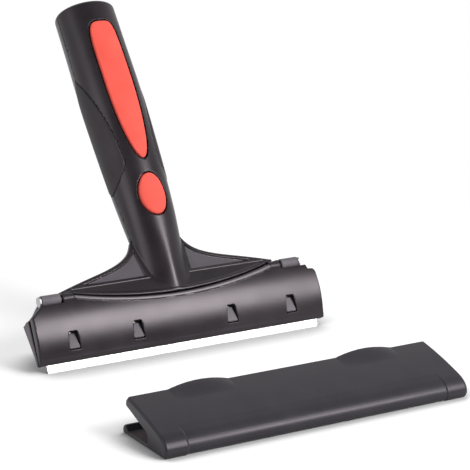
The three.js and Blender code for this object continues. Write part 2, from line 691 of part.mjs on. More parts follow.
function buildRelease(group) {
  const cap = solid(throughY(ellipse(BUTTON_HALF_WIDTH, BUTTON_HALF_LENGTH, BUTTON_CENTRE), -FAR, BUTTON_BACK))
    .intersect(solid(bar(BUTTON_PROUD)));
  const flange = solid(throughY(
    ellipse(BUTTON_HALF_WIDTH + BUTTON_FLANGE, BUTTON_HALF_LENGTH + BUTTON_FLANGE, BUTTON_CENTRE),
    -FAR, BUTTON_BACK)).intersect(solid(bar(-buttonPocketDepth)));
  const prong = solid(box(-PRONG_HALF, PRONG_HALF, BUTTON_BACK - 1, PRONG_END, RAMP_START - ROD_HALF, PRONG_TOP));
  const gap = SLIDE_FIT;
  const slotFloor = -ROD_HALF - BUTTON_TRAVEL - gap;
  const rodSlot = solid(throughX([
    [slotFloor, -FAR], [FAR, -FAR], [FAR, rampHeight(FAR) + gap], [slotFloor, rampHeight(slotFloor) + gap],
  ], -ROD_HALF - gap, ROD_HALF + gap));
  addPiece(group, 'release_button', cap.add(flange).add(prong).subtract(rodSlot), RED_RUBBER);

  const foot = (TAIL_HEIGHT + ROD_FOOT_GAP - HANDLE_START_UP + ROD_HALF * Math.sin(rad(HANDLE_LEAN)))
    / Math.cos(rad(HANDLE_LEAN));
  const rod = solid(throughX([
    [-ROD_HALF, foot], [ROD_HALF, foot], [ROD_HALF, rampHeight(ROD_HALF)], [-ROD_HALF, rampHeight(-ROD_HALF)],
  ], -ROD_HALF, ROD_HALF));
  addPiece(group, 'push_rod', rod, NATURAL_NYLON);

  const spring = new THREE.Group();
  spring.position.set(0, BUTTON_BACK + FIT, SPRING_SEAT);
  addPiece(spring, 'button_spring',
    solid(coil('button_spring', SPRING_LENGTH, SPRING_RADIUS, SPRING_WIRE, SPRING_TURNS)), BRIGHT_STEEL);
  group.add(spring);
}

function buildFrontJaw(group) {
  const top = apronTip;
  const section = [...crestArc(CREST_RADIUS, top), ...crestArc(CREST_RADIUS - JAW_WALL, top).reverse()];
  const chamferX = barrelOuter + KNUCKLE_GAP;
  const left = [
    [jawHalf, BLADE_REACH], [jawHalf, CORNER_HEIGHT], [chamferX, shoulderHeight],
    [knuckleOuter, shoulderHeight],
  ];
  const corner = RIGHT_CORNER.map(([inset, z]) => [jawHalf - inset, z]);
  const right = [[jawHalf, BLADE_REACH], ...corner, [knuckleOuter, shoulderHeight]];
  const face = [...right, ...apronEdge(SEAM, knuckleOuter), ...mirrored(left)];
  const lipTop = splayStart + LIP_HEIGHT;
  const endWall = [
    ...crestArc(CREST_RADIUS, shoulderHeight), [END_GAP_BACK - END_GAP / 2, shoulderHeight],
    [-seatBack, lipTop], [-seatBack, BLADE_REACH],
  ];
  let jaw = solid(throughX(section, -jawHalf, jawHalf))
    .add(solid(throughX([
      [-FIT - bladeFace, BLADE_REACH], [-FIT - bladeFace, splayStart],
      [-CREST_DEPTH / 2, splayStart], [-CREST_DEPTH / 4, BLADE_REACH],
    ], -jawHalf, jawHalf)).intersect(solid(throughX(crestFill(top), -jawHalf, jawHalf))))
    .add(solid(throughX(endWall, -jawHalf, END_WALL - jawHalf)))
    .add(solid(throughX(endWall, jawHalf - END_WALL, jawHalf)))
    .subtract(solid(box(-FAR, FAR, -seatBack, FAR, -FAR, lipTop)))
    .intersect(solid(throughY(face, -FAR, FAR)));
  for (const x of windowPlaces) {
    jaw = jaw.subtract(solid(throughY(windowOutline(x, 0, windowLow, windowHigh), -FAR, FAR)));
  }
  for (const sign of [-1, 1]) {
    const span = [sign * knuckleInner, sign * knuckleOuter].sort((a, b) => a - b);
    const beside = [sign * knuckleOuter, sign * (jawHalf + 1)].sort((a, b) => a - b);
    const x = sign * JAW_SPRING_X;
    const back = crestCentreBack
      - Math.sqrt((CREST_RADIUS - JAW_WALL) ** 2 - (JAW_SPRING_HEIGHT - CREST_HEIGHT) ** 2);
    jaw = jaw
      .subtract(solid(rodX(BARREL_RADIUS + SLIDE_FIT, ...beside, HINGE_BACK, HINGE_HEIGHT)))
      .add(solid(rodX(KNUCKLE_RADIUS, ...span, HINGE_BACK, HINGE_HEIGHT)))
      .subtract(solid(rodX(PIN_RADIUS + FIT, span[0] - 1, span[1] + 1, HINGE_BACK, HINGE_HEIGHT)))
      .add(solid(rodY(JAW_STUD_RADIUS, back - JAW_WALL / 2, back + JAW_STUD_LENGTH, x, JAW_SPRING_HEIGHT)));
  }
  const tail = throughX([
    [-TAIL_FRONT, TAIL_ARM_TOP - TAIL_ARM], [TAIL_FRONT, TAIL_ARM_TOP - TAIL_ARM],
    [TAIL_BACK - 1, TAIL_ARM_TOP + 2], [TAIL_BACK, TAIL_HEIGHT], [TAIL_FRONT, TAIL_HEIGHT],
    [TAIL_FRONT, TAIL_ARM_TOP], [-TAIL_FRONT, TAIL_ARM_TOP],
  ], -TAIL_WIDTH / 2, TAIL_WIDTH / 2);
  addPiece(group, 'front_jaw', jaw.add(solid(tail)), BLACK_PLASTIC);
}

// Everything behind the front jaw's outer curve
function crestFill(top) {
  return [...crestArc(CREST_RADIUS, top), [0, top], [0, BLADE_REACH]];
}

function buildRearJaw(group) {
  const across = JAW_WALL / Math.cos(rad(REAR_SPLAY));
  const rise = wingEdge(WING_TIP_THICKNESS);
  const section = [
    [seatBack, BLADE_REACH], [seatBack, splayStart], [flangeFront, splayEnd], [flangeFront, FAR],
    [flangeBack, FAR], [flangeBack, splayEnd - (across - JAW_WALL) / splaySlope],
    [seatBack + across, splayStart], [seatBack + JAW_WALL * 0.7, BLADE_REACH],
  ];
  const webTop = HINGE_HEIGHT + BARREL_WEB / 2;
  const cornerHeight = REAR_CORNER[0][1];
  const corner = REAR_CORNER.map(([inset, z]) => [jawHalf - inset, z]);
  const side = [[jawHalf, BLADE_REACH], ...corner, [barrelInner, webTop]];
  const endWall = [
    [seatBack, BLADE_REACH], [seatBack, splayStart], [END_GAP_BACK + END_GAP / 2, END_TOP],
    [END_TOP_BACK, END_TOP], [rearFace(cornerHeight) + 1, cornerHeight], [rearFace(splayStart) + 1, splayStart],
    [seatBack + 1, BLADE_REACH],
  ];
  const face = [...side, ...rise.toReversed(), ...mirrored(rise).toReversed(), ...mirrored(side)];
  const neck = inHead(bar(FIT)).intersect(solid(box(-FAR, FAR, -FAR, FAR, RIB_HEIGHT - RIB_BAND - FIT, FAR)));
  let jaw = solid(throughX(section, -jawHalf, jawHalf))
    .intersect(solid(throughY(face, -FAR, FAR)))
    .subtract(neck);
  const pegLow = windowLow + PEG_FOOT_GAP;
  const pegHigh = windowHigh - PEG_TOP_GAP;
  const crest = crestCentreBack - Math.sqrt(CREST_RADIUS ** 2 - (pegLow - CREST_HEIGHT) ** 2);
  const bedTop = BLADE_HEIGHT + BED_TOP_INSET;
  for (const x of windowPlaces) {
    jaw = jaw
      .add(solid(throughX([
        [seatBack, splayStart - 1], [seatBack, bedTop], [rearFace(bedTop) + 1, bedTop],
        [rearFace(splayStart) + 1, splayStart - 1],
      ], x - BED_WIDTH / 2, x + BED_WIDTH / 2)))
      .add(solid(throughX([
        [seatBack + 1, pegLow], [seatBack + 1, pegHigh],
        [crest + PEG_SINK + PEG_RAMP, pegHigh], [crest + PEG_SINK, pegLow],
      ], x - WINDOW_FOOT_HALF, x + WINDOW_FOOT_HALF))
        .intersect(solid(throughY(windowOutline(x, SLIDE_FIT, pegLow, pegHigh), -FAR, FAR))));
  }
  for (const sign of [-1, 1]) {
    const span = [sign * barrelInner, sign * barrelOuter].sort((a, b) => a - b);
    const web = [sign * barrelInner, sign * (barrelInner + BARREL_WEB_LENGTH)].sort((a, b) => a - b);
    const shelf = [sign * WEB_INNER, sign * (barrelInner + 1)].sort((a, b) => a - b);
    const end = [sign * jawHalf, sign * (jawHalf - END_WALL)].sort((a, b) => a - b);
    jaw = jaw
      .add(solid(throughX(endWall, ...end)))
      .add(solid(box(...shelf, WEB_FRONT, rearFace(webTop - BARREL_WEB) + 1, webTop - BARREL_WEB, webTop)))
      .add(solid(rodX(BARREL_RADIUS, ...span, HINGE_BACK, HINGE_HEIGHT)))
      .add(solid(box(...web, HINGE_BACK + PIN_RADIUS, rearFace(webTop - BARREL_WEB) + 1, webTop - BARREL_WEB, webTop)))
      .subtract(solid(rodX(PIN_RADIUS + FIT, span[0] - 1, span[1] + 1, HINGE_BACK, HINGE_HEIGHT)));
    const x = sign * JAW_SPRING_X;
    const stud = rearFace(JAW_SPRING_HEIGHT);
    jaw = jaw.add(solid(rodY(JAW_STUD_RADIUS, stud - JAW_STUD_LENGTH, stud + 1, x, JAW_SPRING_HEIGHT)));
    for (const [screwX, z] of JAW_SCREWS_AT) {
      jaw = jaw.subtract(solid(rodY(SCREW_RADIUS + SCREW_FIT, WING_BACK, FAR, sign * screwX, z)));
    }
  }
  addPiece(group, 'rear_jaw', jaw, BLACK_PLASTIC);
}

function buildBlade(group) {
  const half = BLADE_LENGTH / 2;
  const edge = EDGE_THICKNESS / 2;
  let blade = solid(throughX([
    [-edge, 0], [edge, 0], [bladeFace, BEVEL_HEIGHT], [bladeFace, BLADE_HEIGHT],
    [-bladeFace, BLADE_HEIGHT], [-bladeFace, BEVEL_HEIGHT],
  ], -half, half));
  for (const x of windowPlaces) {
    blade = blade.subtract(solid(throughY(windowOutline(
      x, SLIDE_FIT - FIT, windowLow + PEG_FOOT_GAP - FIT, windowHigh - PEG_TOP_GAP + FIT), -FAR, FAR)));
  }
  addPiece(group, 'blade', blade, BRIGHT_STEEL);
}

function buildHinges(group) {
  for (const [name, sign] of [['left', -1], ['right', 1]]) {
    const headFrom = barrelOuter + FIT;
    const shaft = [sign * (knuckleInner + FIT), sign * headFrom].sort((a, b) => a - b);
    const head = [sign * headFrom, sign * (headFrom + PIN_HEAD_HEIGHT)].sort((a, b) => a - b);
    const pin = solid(rodX(PIN_RADIUS, ...shaft, HINGE_BACK, HINGE_HEIGHT))
      .add(solid(rodX(PIN_HEAD_RADIUS, ...head, HINGE_BACK, HINGE_HEIGHT)));
    addPiece(group, `hinge_pin_${name}`, pin, ZINC_STEEL);

    const from = crestCentreBack + FIT
      - Math.sqrt((CREST_RADIUS - JAW_WALL) ** 2 - (JAW_SPRING_HEIGHT - JAW_SPRING_RADIUS - CREST_HEIGHT) ** 2);
    const to = rearFace(JAW_SPRING_HEIGHT - JAW_SPRING_RADIUS) - 2 * FIT;
    const spring = new THREE.Group();
    spring.position.set(sign * JAW_SPRING_X, from + FIT, JAW_SPRING_HEIGHT);
    addPiece(spring, `jaw_spring_${name}`, solid(coil(`jaw_spring_${name}`, to - from - FIT,
      JAW_SPRING_RADIUS, JAW_SPRING_WIRE, JAW_SPRING_TURNS)), BRIGHT_STEEL);
    group.add(spring);
  }
}

function buildJawScrews(group) {
  let number = 1;
  for (const sign of [-1, 1]) {
    for (const [x, z] of JAW_SCREWS_AT) {
      const place = new THREE.Group();
      place.position.set(sign * x, flangeBack + FIT, z);
      addPiece(place, `jaw_screw_${number}`, screw(flangeBack + FIT - JAW_SCREW_TIP), ZINC_STEEL);
      group.add(place);
      number += 1;
    }
  }
}

// Upper face of the guard at a depth behind its front edge: a crowned slope down to the nose
function guardTop(y) {
  const [depth, height] = GUARD_NOSE[0];
  const share = (y - depth) / (GUARD_TOP_DEPTH - depth);
  const slope = height + (GUARD_HEIGHT - height) * share;
  return slope + 4 * GUARD_CROWN * share * (1 - share);
}

function buildGuard(group) {
  const nose = curvePoints(new THREE.CubicBezierCurve(
    ...GUARD_NOSE.map(([y, z]) => new THREE.Vector2(y, z))), 8);
  const back = GUARD_TOP_DEPTH - GUARD_NOSE[0][0];
  const slope = Array.from({ length: CROWN_STEPS }, (_, i) => GUARD_TOP_DEPTH - (back * i) / CROWN_STEPS)
    .map((y) => [y, guardTop(y)]);
  const inner = GUARD_HEIGHT - GUARD_TOP_WALL;
  const lipStart = GUARD_BASE_DEPTH - GUARD_LIP_DEPTH;
  const profile = [
    ...slope, ...nose, [GUARD_BASE_DEPTH, 0], [GUARD_BASE_DEPTH, GUARD_LIP_HEIGHT - 1],
    [GUARD_BASE_DEPTH - 1, GUARD_LIP_HEIGHT], [lipStart, GUARD_LIP_HEIGHT], [lipStart - 2, GUARD_FLOOR],
    [GUARD_POCKET + 1, GUARD_FLOOR], [GUARD_POCKET, GUARD_FLOOR + 1],
    [GUARD_POCKET, GUARD_POCKET_HEIGHT - 1], [GUARD_POCKET + 1, GUARD_POCKET_HEIGHT],
    [GUARD_TOP_DEPTH + GUARD_BACK_BEVEL, inner], [GUARD_TOP_DEPTH + GUARD_BACK_BEVEL, GUARD_HEIGHT - GUARD_BACK_BEVEL],
  ];
  const half = GUARD_LENGTH / 2;
  const middle = (GUARD_FLOOR + GUARD_POCKET_HEIGHT) / 2;
  let guard = solid(throughX(profile, -half, half)).subtract(solid(box(
    -half + GUARD_SLOT_END, half - GUARD_SLOT_END, GUARD_POCKET - GUARD_SLOT_DEPTH, GUARD_POCKET + 1,
    middle - GUARD_SLOT_HEIGHT / 2, middle + GUARD_SLOT_HEIGHT / 2)));
  for (const x of [-BUMP_CENTRE, BUMP_CENTRE]) {
    guard = guard.add(solid(fingerBump(x)));
  }
  addPiece(group, 'blade_guard', guard, BLACK_PLASTIC);
}

// Low dome on the back edge of the guard's top, which fades out towards the front
function fingerBump(centre) {
  const steps = 2 * ARC_STEPS;
  const ring = (y, rise) => {
    const arch = Array.from({ length: steps + 1 }, (_, i) => {
      const across = 1 - (2 * i) / steps;
      const lift = rise * (1 - across ** 2);
      return new THREE.Vector3(centre + across * BUMP_HALF, y, guardTop(y) - 0.2 + lift);
    });
    const sunk = arch.map((p) => p.clone().setZ(guardTop(y) - 1)).reverse();
    return [...arch, ...sunk];
  };
  const depths = Array.from({ length: 6 }, (_, i) => (BUMP_DEPTH * i) / 5);
  return loft(depths.map((depth) => ring(
    GUARD_TOP_DEPTH - depth, (0.2 + BUMP_HEIGHT) * Math.cos((Math.PI / 2) * (depth / BUMP_DEPTH)))));
}

const set = new THREE.Group();

const head = new THREE.Group();
head.rotation.x = -rad(HEAD_LEAN);
set.add(head);

const handle = new THREE.Group();
handle.position.set(0, HANDLE_START_BACK, HANDLE_START_UP);
handle.rotation.x = -rad(HANDLE_LEAN);
head.add(handle);

const guard = new THREE.Group();
guard.position.set(GUARD_X, GUARD_FRONT, 0);
set.add(guard);

buildCasings(head);
buildGrip(handle);
buildRelease(handle);
buildFrontJaw(head);
buildRearJaw(head);
buildBlade(head);
buildHinges(head);
buildJawScrews(head);
buildGuard(guard);

// The origin is on the table, under the middle of the whole set
const extent = new THREE.Box3().setFromObject(set, true);
const middle = extent.getCenter(new THREE.Vector3());
set.position.set(-middle.x, -middle.y, -extent.min.z);
set.updateMatrixWorld(true);

export default set;
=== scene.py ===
"""Looks of a wallpaper scraper and the blade guard that lies in front of it.

The casings, jaws, grips, button and guard are worked out as rounded solids in millimetres, each in the
axes of its own sub-assembly, and then skinned with a mesh. The springs are wound as coils, and the
other small hardware keeps its CAD solids.
"""
import logging
from dataclasses import dataclass, field
from enum import Enum, IntEnum
from itertools import product
from math import cos, hypot, radians, sin, tan
from typing import Callable, Sequence

import bpy
import numpy as np
from mathutils import Matrix, Vector


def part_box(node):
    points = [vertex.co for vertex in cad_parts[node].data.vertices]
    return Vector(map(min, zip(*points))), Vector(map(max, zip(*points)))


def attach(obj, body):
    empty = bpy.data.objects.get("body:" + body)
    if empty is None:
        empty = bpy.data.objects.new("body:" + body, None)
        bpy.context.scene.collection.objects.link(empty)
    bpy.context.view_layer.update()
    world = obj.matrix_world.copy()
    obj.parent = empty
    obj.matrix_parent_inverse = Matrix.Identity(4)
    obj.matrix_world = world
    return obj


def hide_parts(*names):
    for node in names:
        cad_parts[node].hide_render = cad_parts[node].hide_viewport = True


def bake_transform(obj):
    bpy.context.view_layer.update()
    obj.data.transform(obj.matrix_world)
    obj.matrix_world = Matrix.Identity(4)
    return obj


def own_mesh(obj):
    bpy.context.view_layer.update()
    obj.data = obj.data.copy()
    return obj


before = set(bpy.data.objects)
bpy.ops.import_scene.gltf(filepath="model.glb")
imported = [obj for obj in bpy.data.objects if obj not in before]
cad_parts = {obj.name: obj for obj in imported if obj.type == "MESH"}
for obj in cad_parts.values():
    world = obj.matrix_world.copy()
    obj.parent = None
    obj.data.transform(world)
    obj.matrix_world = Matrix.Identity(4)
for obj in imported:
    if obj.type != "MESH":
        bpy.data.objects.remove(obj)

log = logging.getLogger("scraper")

MM = 0.001
FAR = 400.0
TINY = 1e-12

# Radii of small edges and fillets, and how far joined solids lap over each other, in millimetres.
TIGHT, CRISP, EASED, FINE, SOFT, FULL, BROAD = 0.1, 0.2, 0.25, 0.3, 0.4, 0.5, 0.6
LAP = 1.0

# The eight corners of a cell, and the mesh attribute that says where a piece takes its other tone, which is
# painted light and shade: a painted highlight on the jaw's bead, painted shade on the rear jaw, and a lighter
# tone on the sunk panels that is partly painted light.
CORNERS = list(product((0, 1), repeat=3))
TONE_AND_PAINTED_LIGHT = "tone_and_painted_light"

Points = np.ndarray
Values = np.ndarray
Mesh = tuple[np.ndarray, np.ndarray, np.ndarray]
Pair = tuple[float, float]
Triple = tuple[float, float, float]
Room = tuple[Triple, Triple]
Section = tuple[Pair, Pair]


class Axis(IntEnum):
    """Axes of a sub-assembly."""

    X = 0
    Y = 1
    Z = 2


class Side(IntEnum):
    """The two sides of the tool, seen from the front."""

    LEFT = -1
    RIGHT = 1


class Body(Enum):
    """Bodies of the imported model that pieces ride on."""

    HANDLE = "handle"
    BUTTON = "button"
    JAW = "jaw"
    GUARD = "guard"


class Slot(Enum):
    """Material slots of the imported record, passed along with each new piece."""

    BLACK_PLASTIC = "black_plastic"
    PAD_RUBBER = "pad_rubber"
    INLAY_RUBBER = "inlay_rubber"
    BUTTON_PLASTIC = "button_plastic"
    SPRING_WIRE = "spring_wire"


def rounded_meet(a: Values, b: Values, radius: float) -> Values:
    """Distance to what two solids share, with its edge rounded over.

    Args:
        a: Distances to the first solid.
        b: Distances to the second solid.
        radius: Radius of the rounded edge.

    Returns:
        Distances to the shared solid.
    """
    if radius <= 0:
        return np.maximum(a, b)
    over = np.hypot(np.maximum(radius + a, 0), np.maximum(radius + b, 0))
    return np.minimum(-radius, np.maximum(a, b)) + over


class Form:
    """A solid known by its signed distance in millimetres, which is below zero inside."""

    def __init__(self, reach: Callable[[Points], Values]) -> None:
        """Keeps the function that gives the distance of each point."""
        self.reach = reach

    def __call__(self, points: Points) -> Values:
        """Signed distance of each point."""
        return self.reach(points)

    def join(self, other: "Form", radius: float = 0.0) -> "Form":
        """Both solids together, with a fillet of the radius between them."""
        return Form(lambda p: -rounded_meet(-self(p), -other(p), radius))

    def meet(self, other: "Form", radius: float = 0.0) -> "Form":
        """What both solids share, with its edge rounded over."""
        return Form(lambda p: rounded_meet(self(p), other(p), radius))

    def cut(self, other: "Form", radius: float = 0.0) -> "Form":
        """This solid without the other, with the edge of the cut rounded over."""
        return Form(lambda p: rounded_meet(self(p), -other(p), radius))

    def seen_from(self, turn: Callable[[Points], Points]) -> "Form":
        """This solid, given points in other axes and the way from those into its own."""
        return Form(lambda p: self(turn(p)))


class Outline:
    """A closed outline of straight runs in two axes. Far outside it, distances are those to its box."""

    near = 3.0

    def __init__(self, corners: Sequence[Sequence[float]], grow: float = 0.0) -> None:
        """Keeps the corners and how far the outline is grown all round."""
        self.corners = np.asarray(corners, float)
        self.grow = grow

    def reach(self, u: Values, v: Values) -> Values:
        """Signed distance in the plane.

        Args:
            u: First coordinate of each point.
            v: Second coordinate of each point.

        Returns:
            Distance to the outline, below zero inside it.
        """
        low, high = self.corners.min(axis=0), self.corners.max(axis=0)
        off_u = np.maximum(np.maximum(low[0] - u, u - high[0]), 0)
        off_v = np.maximum(np.maximum(low[1] - v, v - high[1]), 0)
        gap = np.hypot(off_u, off_v)
        close = gap < self.near
        found = gap - self.grow
        found[close] = self.exact(u[close], v[close])
        return found

    def exact(self, u: Values, v: Values) -> Values:
        """Signed distance of points near the outline or inside it.

        Args:
            u: First coordinate of each point.
            v: Second coordinate of each point.

        Returns:
            Distance to the outline, below zero inside it.
        """
        least = np.full(u.shape, np.inf)
        inside = np.zeros(u.shape, bool)
        for (au, av), (bu, bv) in zip(self.corners, np.roll(self.corners, -1, axis=0)):
            run_u, run_v = bu - au, bv - av
            length = run_u * run_u + run_v * run_v
            if length < TINY:
                continue
            du, dv = u - au, v - av
            share = np.clip((du * run_u + dv * run_v) / length, 0, 1)
            least = np.minimum(least, (du - run_u * share) ** 2 + (dv - run_v * share) ** 2)
            if abs(run_v) > TINY:
                inside ^= ((av <= v) != (bv <= v)) & (du < dv * run_u / run_v)
        return np.where(inside, -1, 1) * np.sqrt(least) - self.grow

    def through_x(self, low: float, high: float, radius: float = 0.0) -> Form:
        """Outline in y and z, pushed through from one x to another."""
        return Form(lambda p: rounded_meet(
            self.reach(p[:, 1], p[:, 2]), np.maximum(low - p[:, 0], p[:, 0] - high), radius))

    def through_y(self, low: float, high: float, radius: float = 0.0) -> Form:
        """Outline in x and z, pushed through from one y to another."""
        return Form(lambda p: rounded_meet(
            self.reach(p[:, 0], p[:, 2]), np.maximum(low - p[:, 1], p[:, 1] - high), radius))


def block(low: Triple, high: Triple, radius: float = 0.0) -> Form:
    """Box between two corners with rounded edges.

    Args:
        low: Lowest corner.
        high: Highest corner.
        radius: Radius of its edges.

    Returns:
        The box.
    """
    middle = (np.array(low) + np.array(high)) / 2
    half = (np.array(high) - np.array(low)) / 2 - radius

    def reach(points: Points) -> Values:
        """Distance to the rounded box."""
        over = np.abs(points - middle) - half
        return np.linalg.norm(np.maximum(over, 0), axis=1) + np.minimum(over.max(axis=1), 0) - radius

    return Form(reach)


def round_bar(axis: Axis, radius: float, low: float, high: float, at: Pair, edge: float = 0.0) -> Form:
    """Round bar along one axis.

    Args:
        axis: Axis that it lies along.
        radius: Radius of the bar.
        low: Where it starts on the axis.
        high: Where it ends on the axis.
        at: Its place on the other two axes.
        edge: Radius of its end edges.

    Returns:
        The bar.
    """
    u, v = (other for other in Axis if other != axis)
    return Form(lambda p: rounded_meet(
        np.hypot(p[:, u] - at[0], p[:, v] - at[1]) - radius,
        np.maximum(low - p[:, axis], p[:, axis] - high), edge))


def side_of(axis: Axis, limit: float, sign: int) -> Form:
    """Half of space beyond a limit on an axis: above it for sign 1, below it for sign -1."""
    return Form(lambda p: sign * (limit - p[:, axis]))


def slab(axis: Axis, low: float, high: float) -> Form:
    """Everything between two limits on an axis."""
    return Form(lambda p: np.maximum(low - p[:, axis], p[:, axis] - high))


def on_side(side: Side, inner: float, outer: float) -> Pair:
    """Two places beside the middle, in order along x."""
    return tuple(sorted((side * inner, side * outer)))


def bezier(corners: Sequence[Sequence[float]], steps: int) -> np.ndarray:
    """Points along a Bezier curve of degree two or three.

    Args:
        corners: Control points.
        steps: Number of straight runs.

    Returns:
        One row for each point.
    """
    t = np.linspace(0, 1, steps + 1)[:, None]
    rows = [np.asarray(corner, float)[None, :] * np.ones_like(t) for corner in corners]
    while len(rows) > 1:
        rows = [a * (1 - t) + b * t for a, b in zip(rows, rows[1:])]
    return rows[0]


def mirrored(points: np.ndarray) -> np.ndarray:
    """The same points on the other side of the middle, in reverse order."""
    return (points * np.array([-1, 1]))[::-1]


def slope_of(form: Form, points: Points, gap: float = 0.05) -> tuple[Values, Points]:
    """Distance and its slope at each point, from four samples round it.

    Args:
        form: The solid.
        points: Where to take them.
        gap: How far the samples stand off on each axis.

    Returns:
        The distances, and vectors that point straight out of the solid.
    """
    corners = np.array([(1, -1, -1), (-1, -1, 1), (-1, 1, -1), (1, 1, 1)], float)
    samples = np.stack([form(points + gap * corner) for corner in corners], axis=1)
    return samples.mean(axis=1), samples @ corners / (4 * gap)


def at_corner(values: np.ndarray, corner: tuple[int, ...]) -> np.ndarray:
    """View of the values at one corner of every cell."""
    return values[tuple(slice(c, c + n - 1) for c, n in zip(corner, values.shape))]


@dataclass
class Skin:
    """Mesh over a solid: one point in each small cell that the surface crosses, pulled onto the surface.

    A seam is given as the skin that runs across it and the room that it lies in.
    """

    form: Form
    low: Triple
    high: Triple
    step: float
    along_seam: tuple[Form, Form] | None = None
    border: float = 1.5
    block: int = 4
    margin: float = 1.5
    batch: int = 300000
    pulls: int = 3
    leash: float = 0.75
    least_steep: float = 0.05
    flush: float = 0.15

    def samples(self) -> tuple[np.ndarray, np.ndarray]:
        """Distances at the corners of all cells; far from the surface only their sign is right.

        Returns:
            The lowest corner of the grid and the distances.
        """
        size = self.step * self.block
        start = np.array(self.low) - self.border * self.step
        counts = np.ceil((np.array(self.high) + self.border * self.step - start) / size).astype(int)
        ticks = [start[k] + size * (np.arange(counts[k]) + 0.5) for k in Axis]
        middles = np.stack(np.meshgrid(*ticks, indexing="ij"), axis=-1)
        coarse = self.form(middles.reshape(-1, 3)).reshape(counts)
        near = np.abs(coarse) < self.margin * size * 3 ** 0.5 / 2
        for axis in range(3):
            near, coarse = np.repeat(near, self.block, axis), np.repeat(coarse, self.block, axis)
        wanted = np.zeros(np.array(near.shape) + 1, bool)
        for corner in CORNERS:
            part = at_corner(wanted, corner)
            part |= near
        values = np.pad(coarse, ((0, 1), (0, 1), (0, 1)), mode="edge")
        spots = np.argwhere(wanted)
        values[wanted] = np.concatenate([
            self.form(start + self.step * spots[first:first + self.batch])
            for first in range(0, len(spots), self.batch)])
        return start, values

    def crossed(self, values: np.ndarray, active: np.ndarray) -> Points:
        """Mean of the places where the surface crosses the edges of a cell.

        Args:
            values: Distances at the corners of all cells.
            active: Which cells the surface crosses.

        Returns:
            One place for each such cell, from 0 to 1 on each axis.
        """
        at = {corner: at_corner(values, corner)[active] for corner in CORNERS}
        total = np.zeros((np.count_nonzero(active), 3))
        crossings = np.zeros(len(total))
        for a, axis in product(CORNERS, Axis):
            if a[axis]:
                continue
            b = tuple(c + (k == axis) for k, c in enumerate(a))
            crosses = (at[a] < 0) != (at[b] < 0)
            spot = np.array(a, float)[None, :] * np.ones((len(total), 1))
            spot[:, axis] += np.where(crosses, at[a] / np.where(crosses, at[a] - at[b], 1), 0)
            total += spot * crosses[:, None]
            crossings += crosses
        return total / crossings[:, None]

    def pulled(self, first: Points) -> Points:
        """Points pulled onto the surface, each on a short leash.

        Args:
            first: Where they start.

        Returns:
            Where they end.
        """
        points, leash = first.copy(), self.leash * self.step
        for _ in range(self.pulls):
            reach, slope = slope_of(self.form, points)
            steep = np.maximum((slope ** 2).sum(axis=1), self.least_steep)
            points -= slope * (reach / steep)[:, None]
            points = first + np.clip(points - first, -leash, leash)
        return points

    def faces(self, inside: np.ndarray, number: np.ndarray) -> np.ndarray:
        """A four-sided face round every edge of the grid that the surface crosses.

        Args:
            inside: Which corners of the cells lie inside the solid.
            number: Number of the point in each cell.

        Returns:
            Rows of four point numbers.
        """
        found = []
        for axis in range(3):
            u, v = (axis + 1) % 3, (axis + 2) % 3
            low = [slice(1, -1)] * 3
            high = list(low)
            low[axis], high[axis] = slice(None, -1), slice(1, None)
            before, after = inside[tuple(low)], inside[tuple(high)]
            crosses = before != after
            spots = np.argwhere(crosses)
            ring = []
            for du, dv in ((0, 0), (1, 0), (1, 1), (0, 1)):
                cell = spots.copy()
                cell[:, u] += du
                cell[:, v] += dv
                ring.append(number[tuple(cell.T)])
            ring = np.stack(ring, axis=1)
            found.append(np.where(before[crosses][:, None], ring, ring[:, ::-1]))
        return np.concatenate(found)

    def normals(self, points: Points) -> Points:
        """Unit normals; along a seam they follow the skin that runs across it.

        Args:
            points: Points of the mesh.

        Returns:
            One normal for each point.
        """
        found = slope_of(self.form, points)[1]
        if self.along_seam is not None:
            skin, room = self.along_seam
            level = (np.abs(skin(points)) < self.flush) & (room(points) < 0)
            found[level] = slope_of(skin, points[level])[1]
        return found / np.maximum(np.linalg.norm(found, axis=1, keepdims=True), TINY)

    def mesh(self) -> Mesh:
        """Points, four-sided faces and normals of the surface.

        Returns:
            Points in millimetres, rows of four point numbers, and one unit normal for each point.
        """
        start, values = self.samples()
        inside = values < 0
        filled = sum(at_corner(inside, corner).astype(np.int8) for corner in CORNERS)
        active = (filled > 0) & (filled < len(CORNERS))
        cells = np.argwhere(active)
        number = np.full(active.shape, -1, int)
        number[active] = np.arange(len(cells))
        points = self.pulled(start + self.step * (cells + self.crossed(values, active)))
        return points, self.faces(inside, number), self.normals(points)


@dataclass
class Coil:
    """Mesh of a wire spring along y, with the middle of its length at the origin."""

    length: float
    radius: float
    wire: float
    turns: int = 6
    curl: int = 32
    sides: int = 12

    def mesh(self) -> Mesh:
        """Points, four-sided faces and normals of the wire.

        Returns:
            Points in millimetres, rows of four point numbers, and one unit normal for each point.
        """
        rings = self.turns * self.curl + 1
        angle = np.linspace(0, 2 * np.pi * self.turns, rings)
        along = np.linspace(-0.5, 0.5, rings) * (self.length - self.wire)
        out = np.stack([np.cos(angle), np.zeros(rings), np.sin(angle)], axis=1)
        turn = 2 * np.pi * np.arange(self.sides) / self.sides
        normals = (out[:, None] * np.cos(turn)[None, :, None]
                   + np.array([0, 1, 0]) * np.sin(turn)[None, :, None])
        centres = out * self.radius + np.outer(along, (0, 1, 0))
        points = centres[:, None] + normals * self.wire / 2
        first, side = np.meshgrid(np.arange(rings - 1) * self.sides, np.arange(self.sides), indexing="ij")
        after = (side + 1) % self.sides
        walls = np.stack([first + side, first + after,
                          first + after + self.sides, first + side + self.sides], axis=-1)
        k = np.arange(self.sides // 2 - 1)
        cap = np.stack([k, k + 1, self.sides - 2 - k, self.sides - 1 - k], axis=1)
        faces = np.concatenate([walls.reshape(-1, 4), cap[:, ::-1], cap + (rings - 1) * self.sides])
        return points.reshape(-1, 3), faces, normals.reshape(-1, 3)


@dataclass(frozen=True)
class Stretch:
    """The far end of a spring: the body there, and where the spring starts and ends."""

    body: Body
    start: Triple
    end: Triple


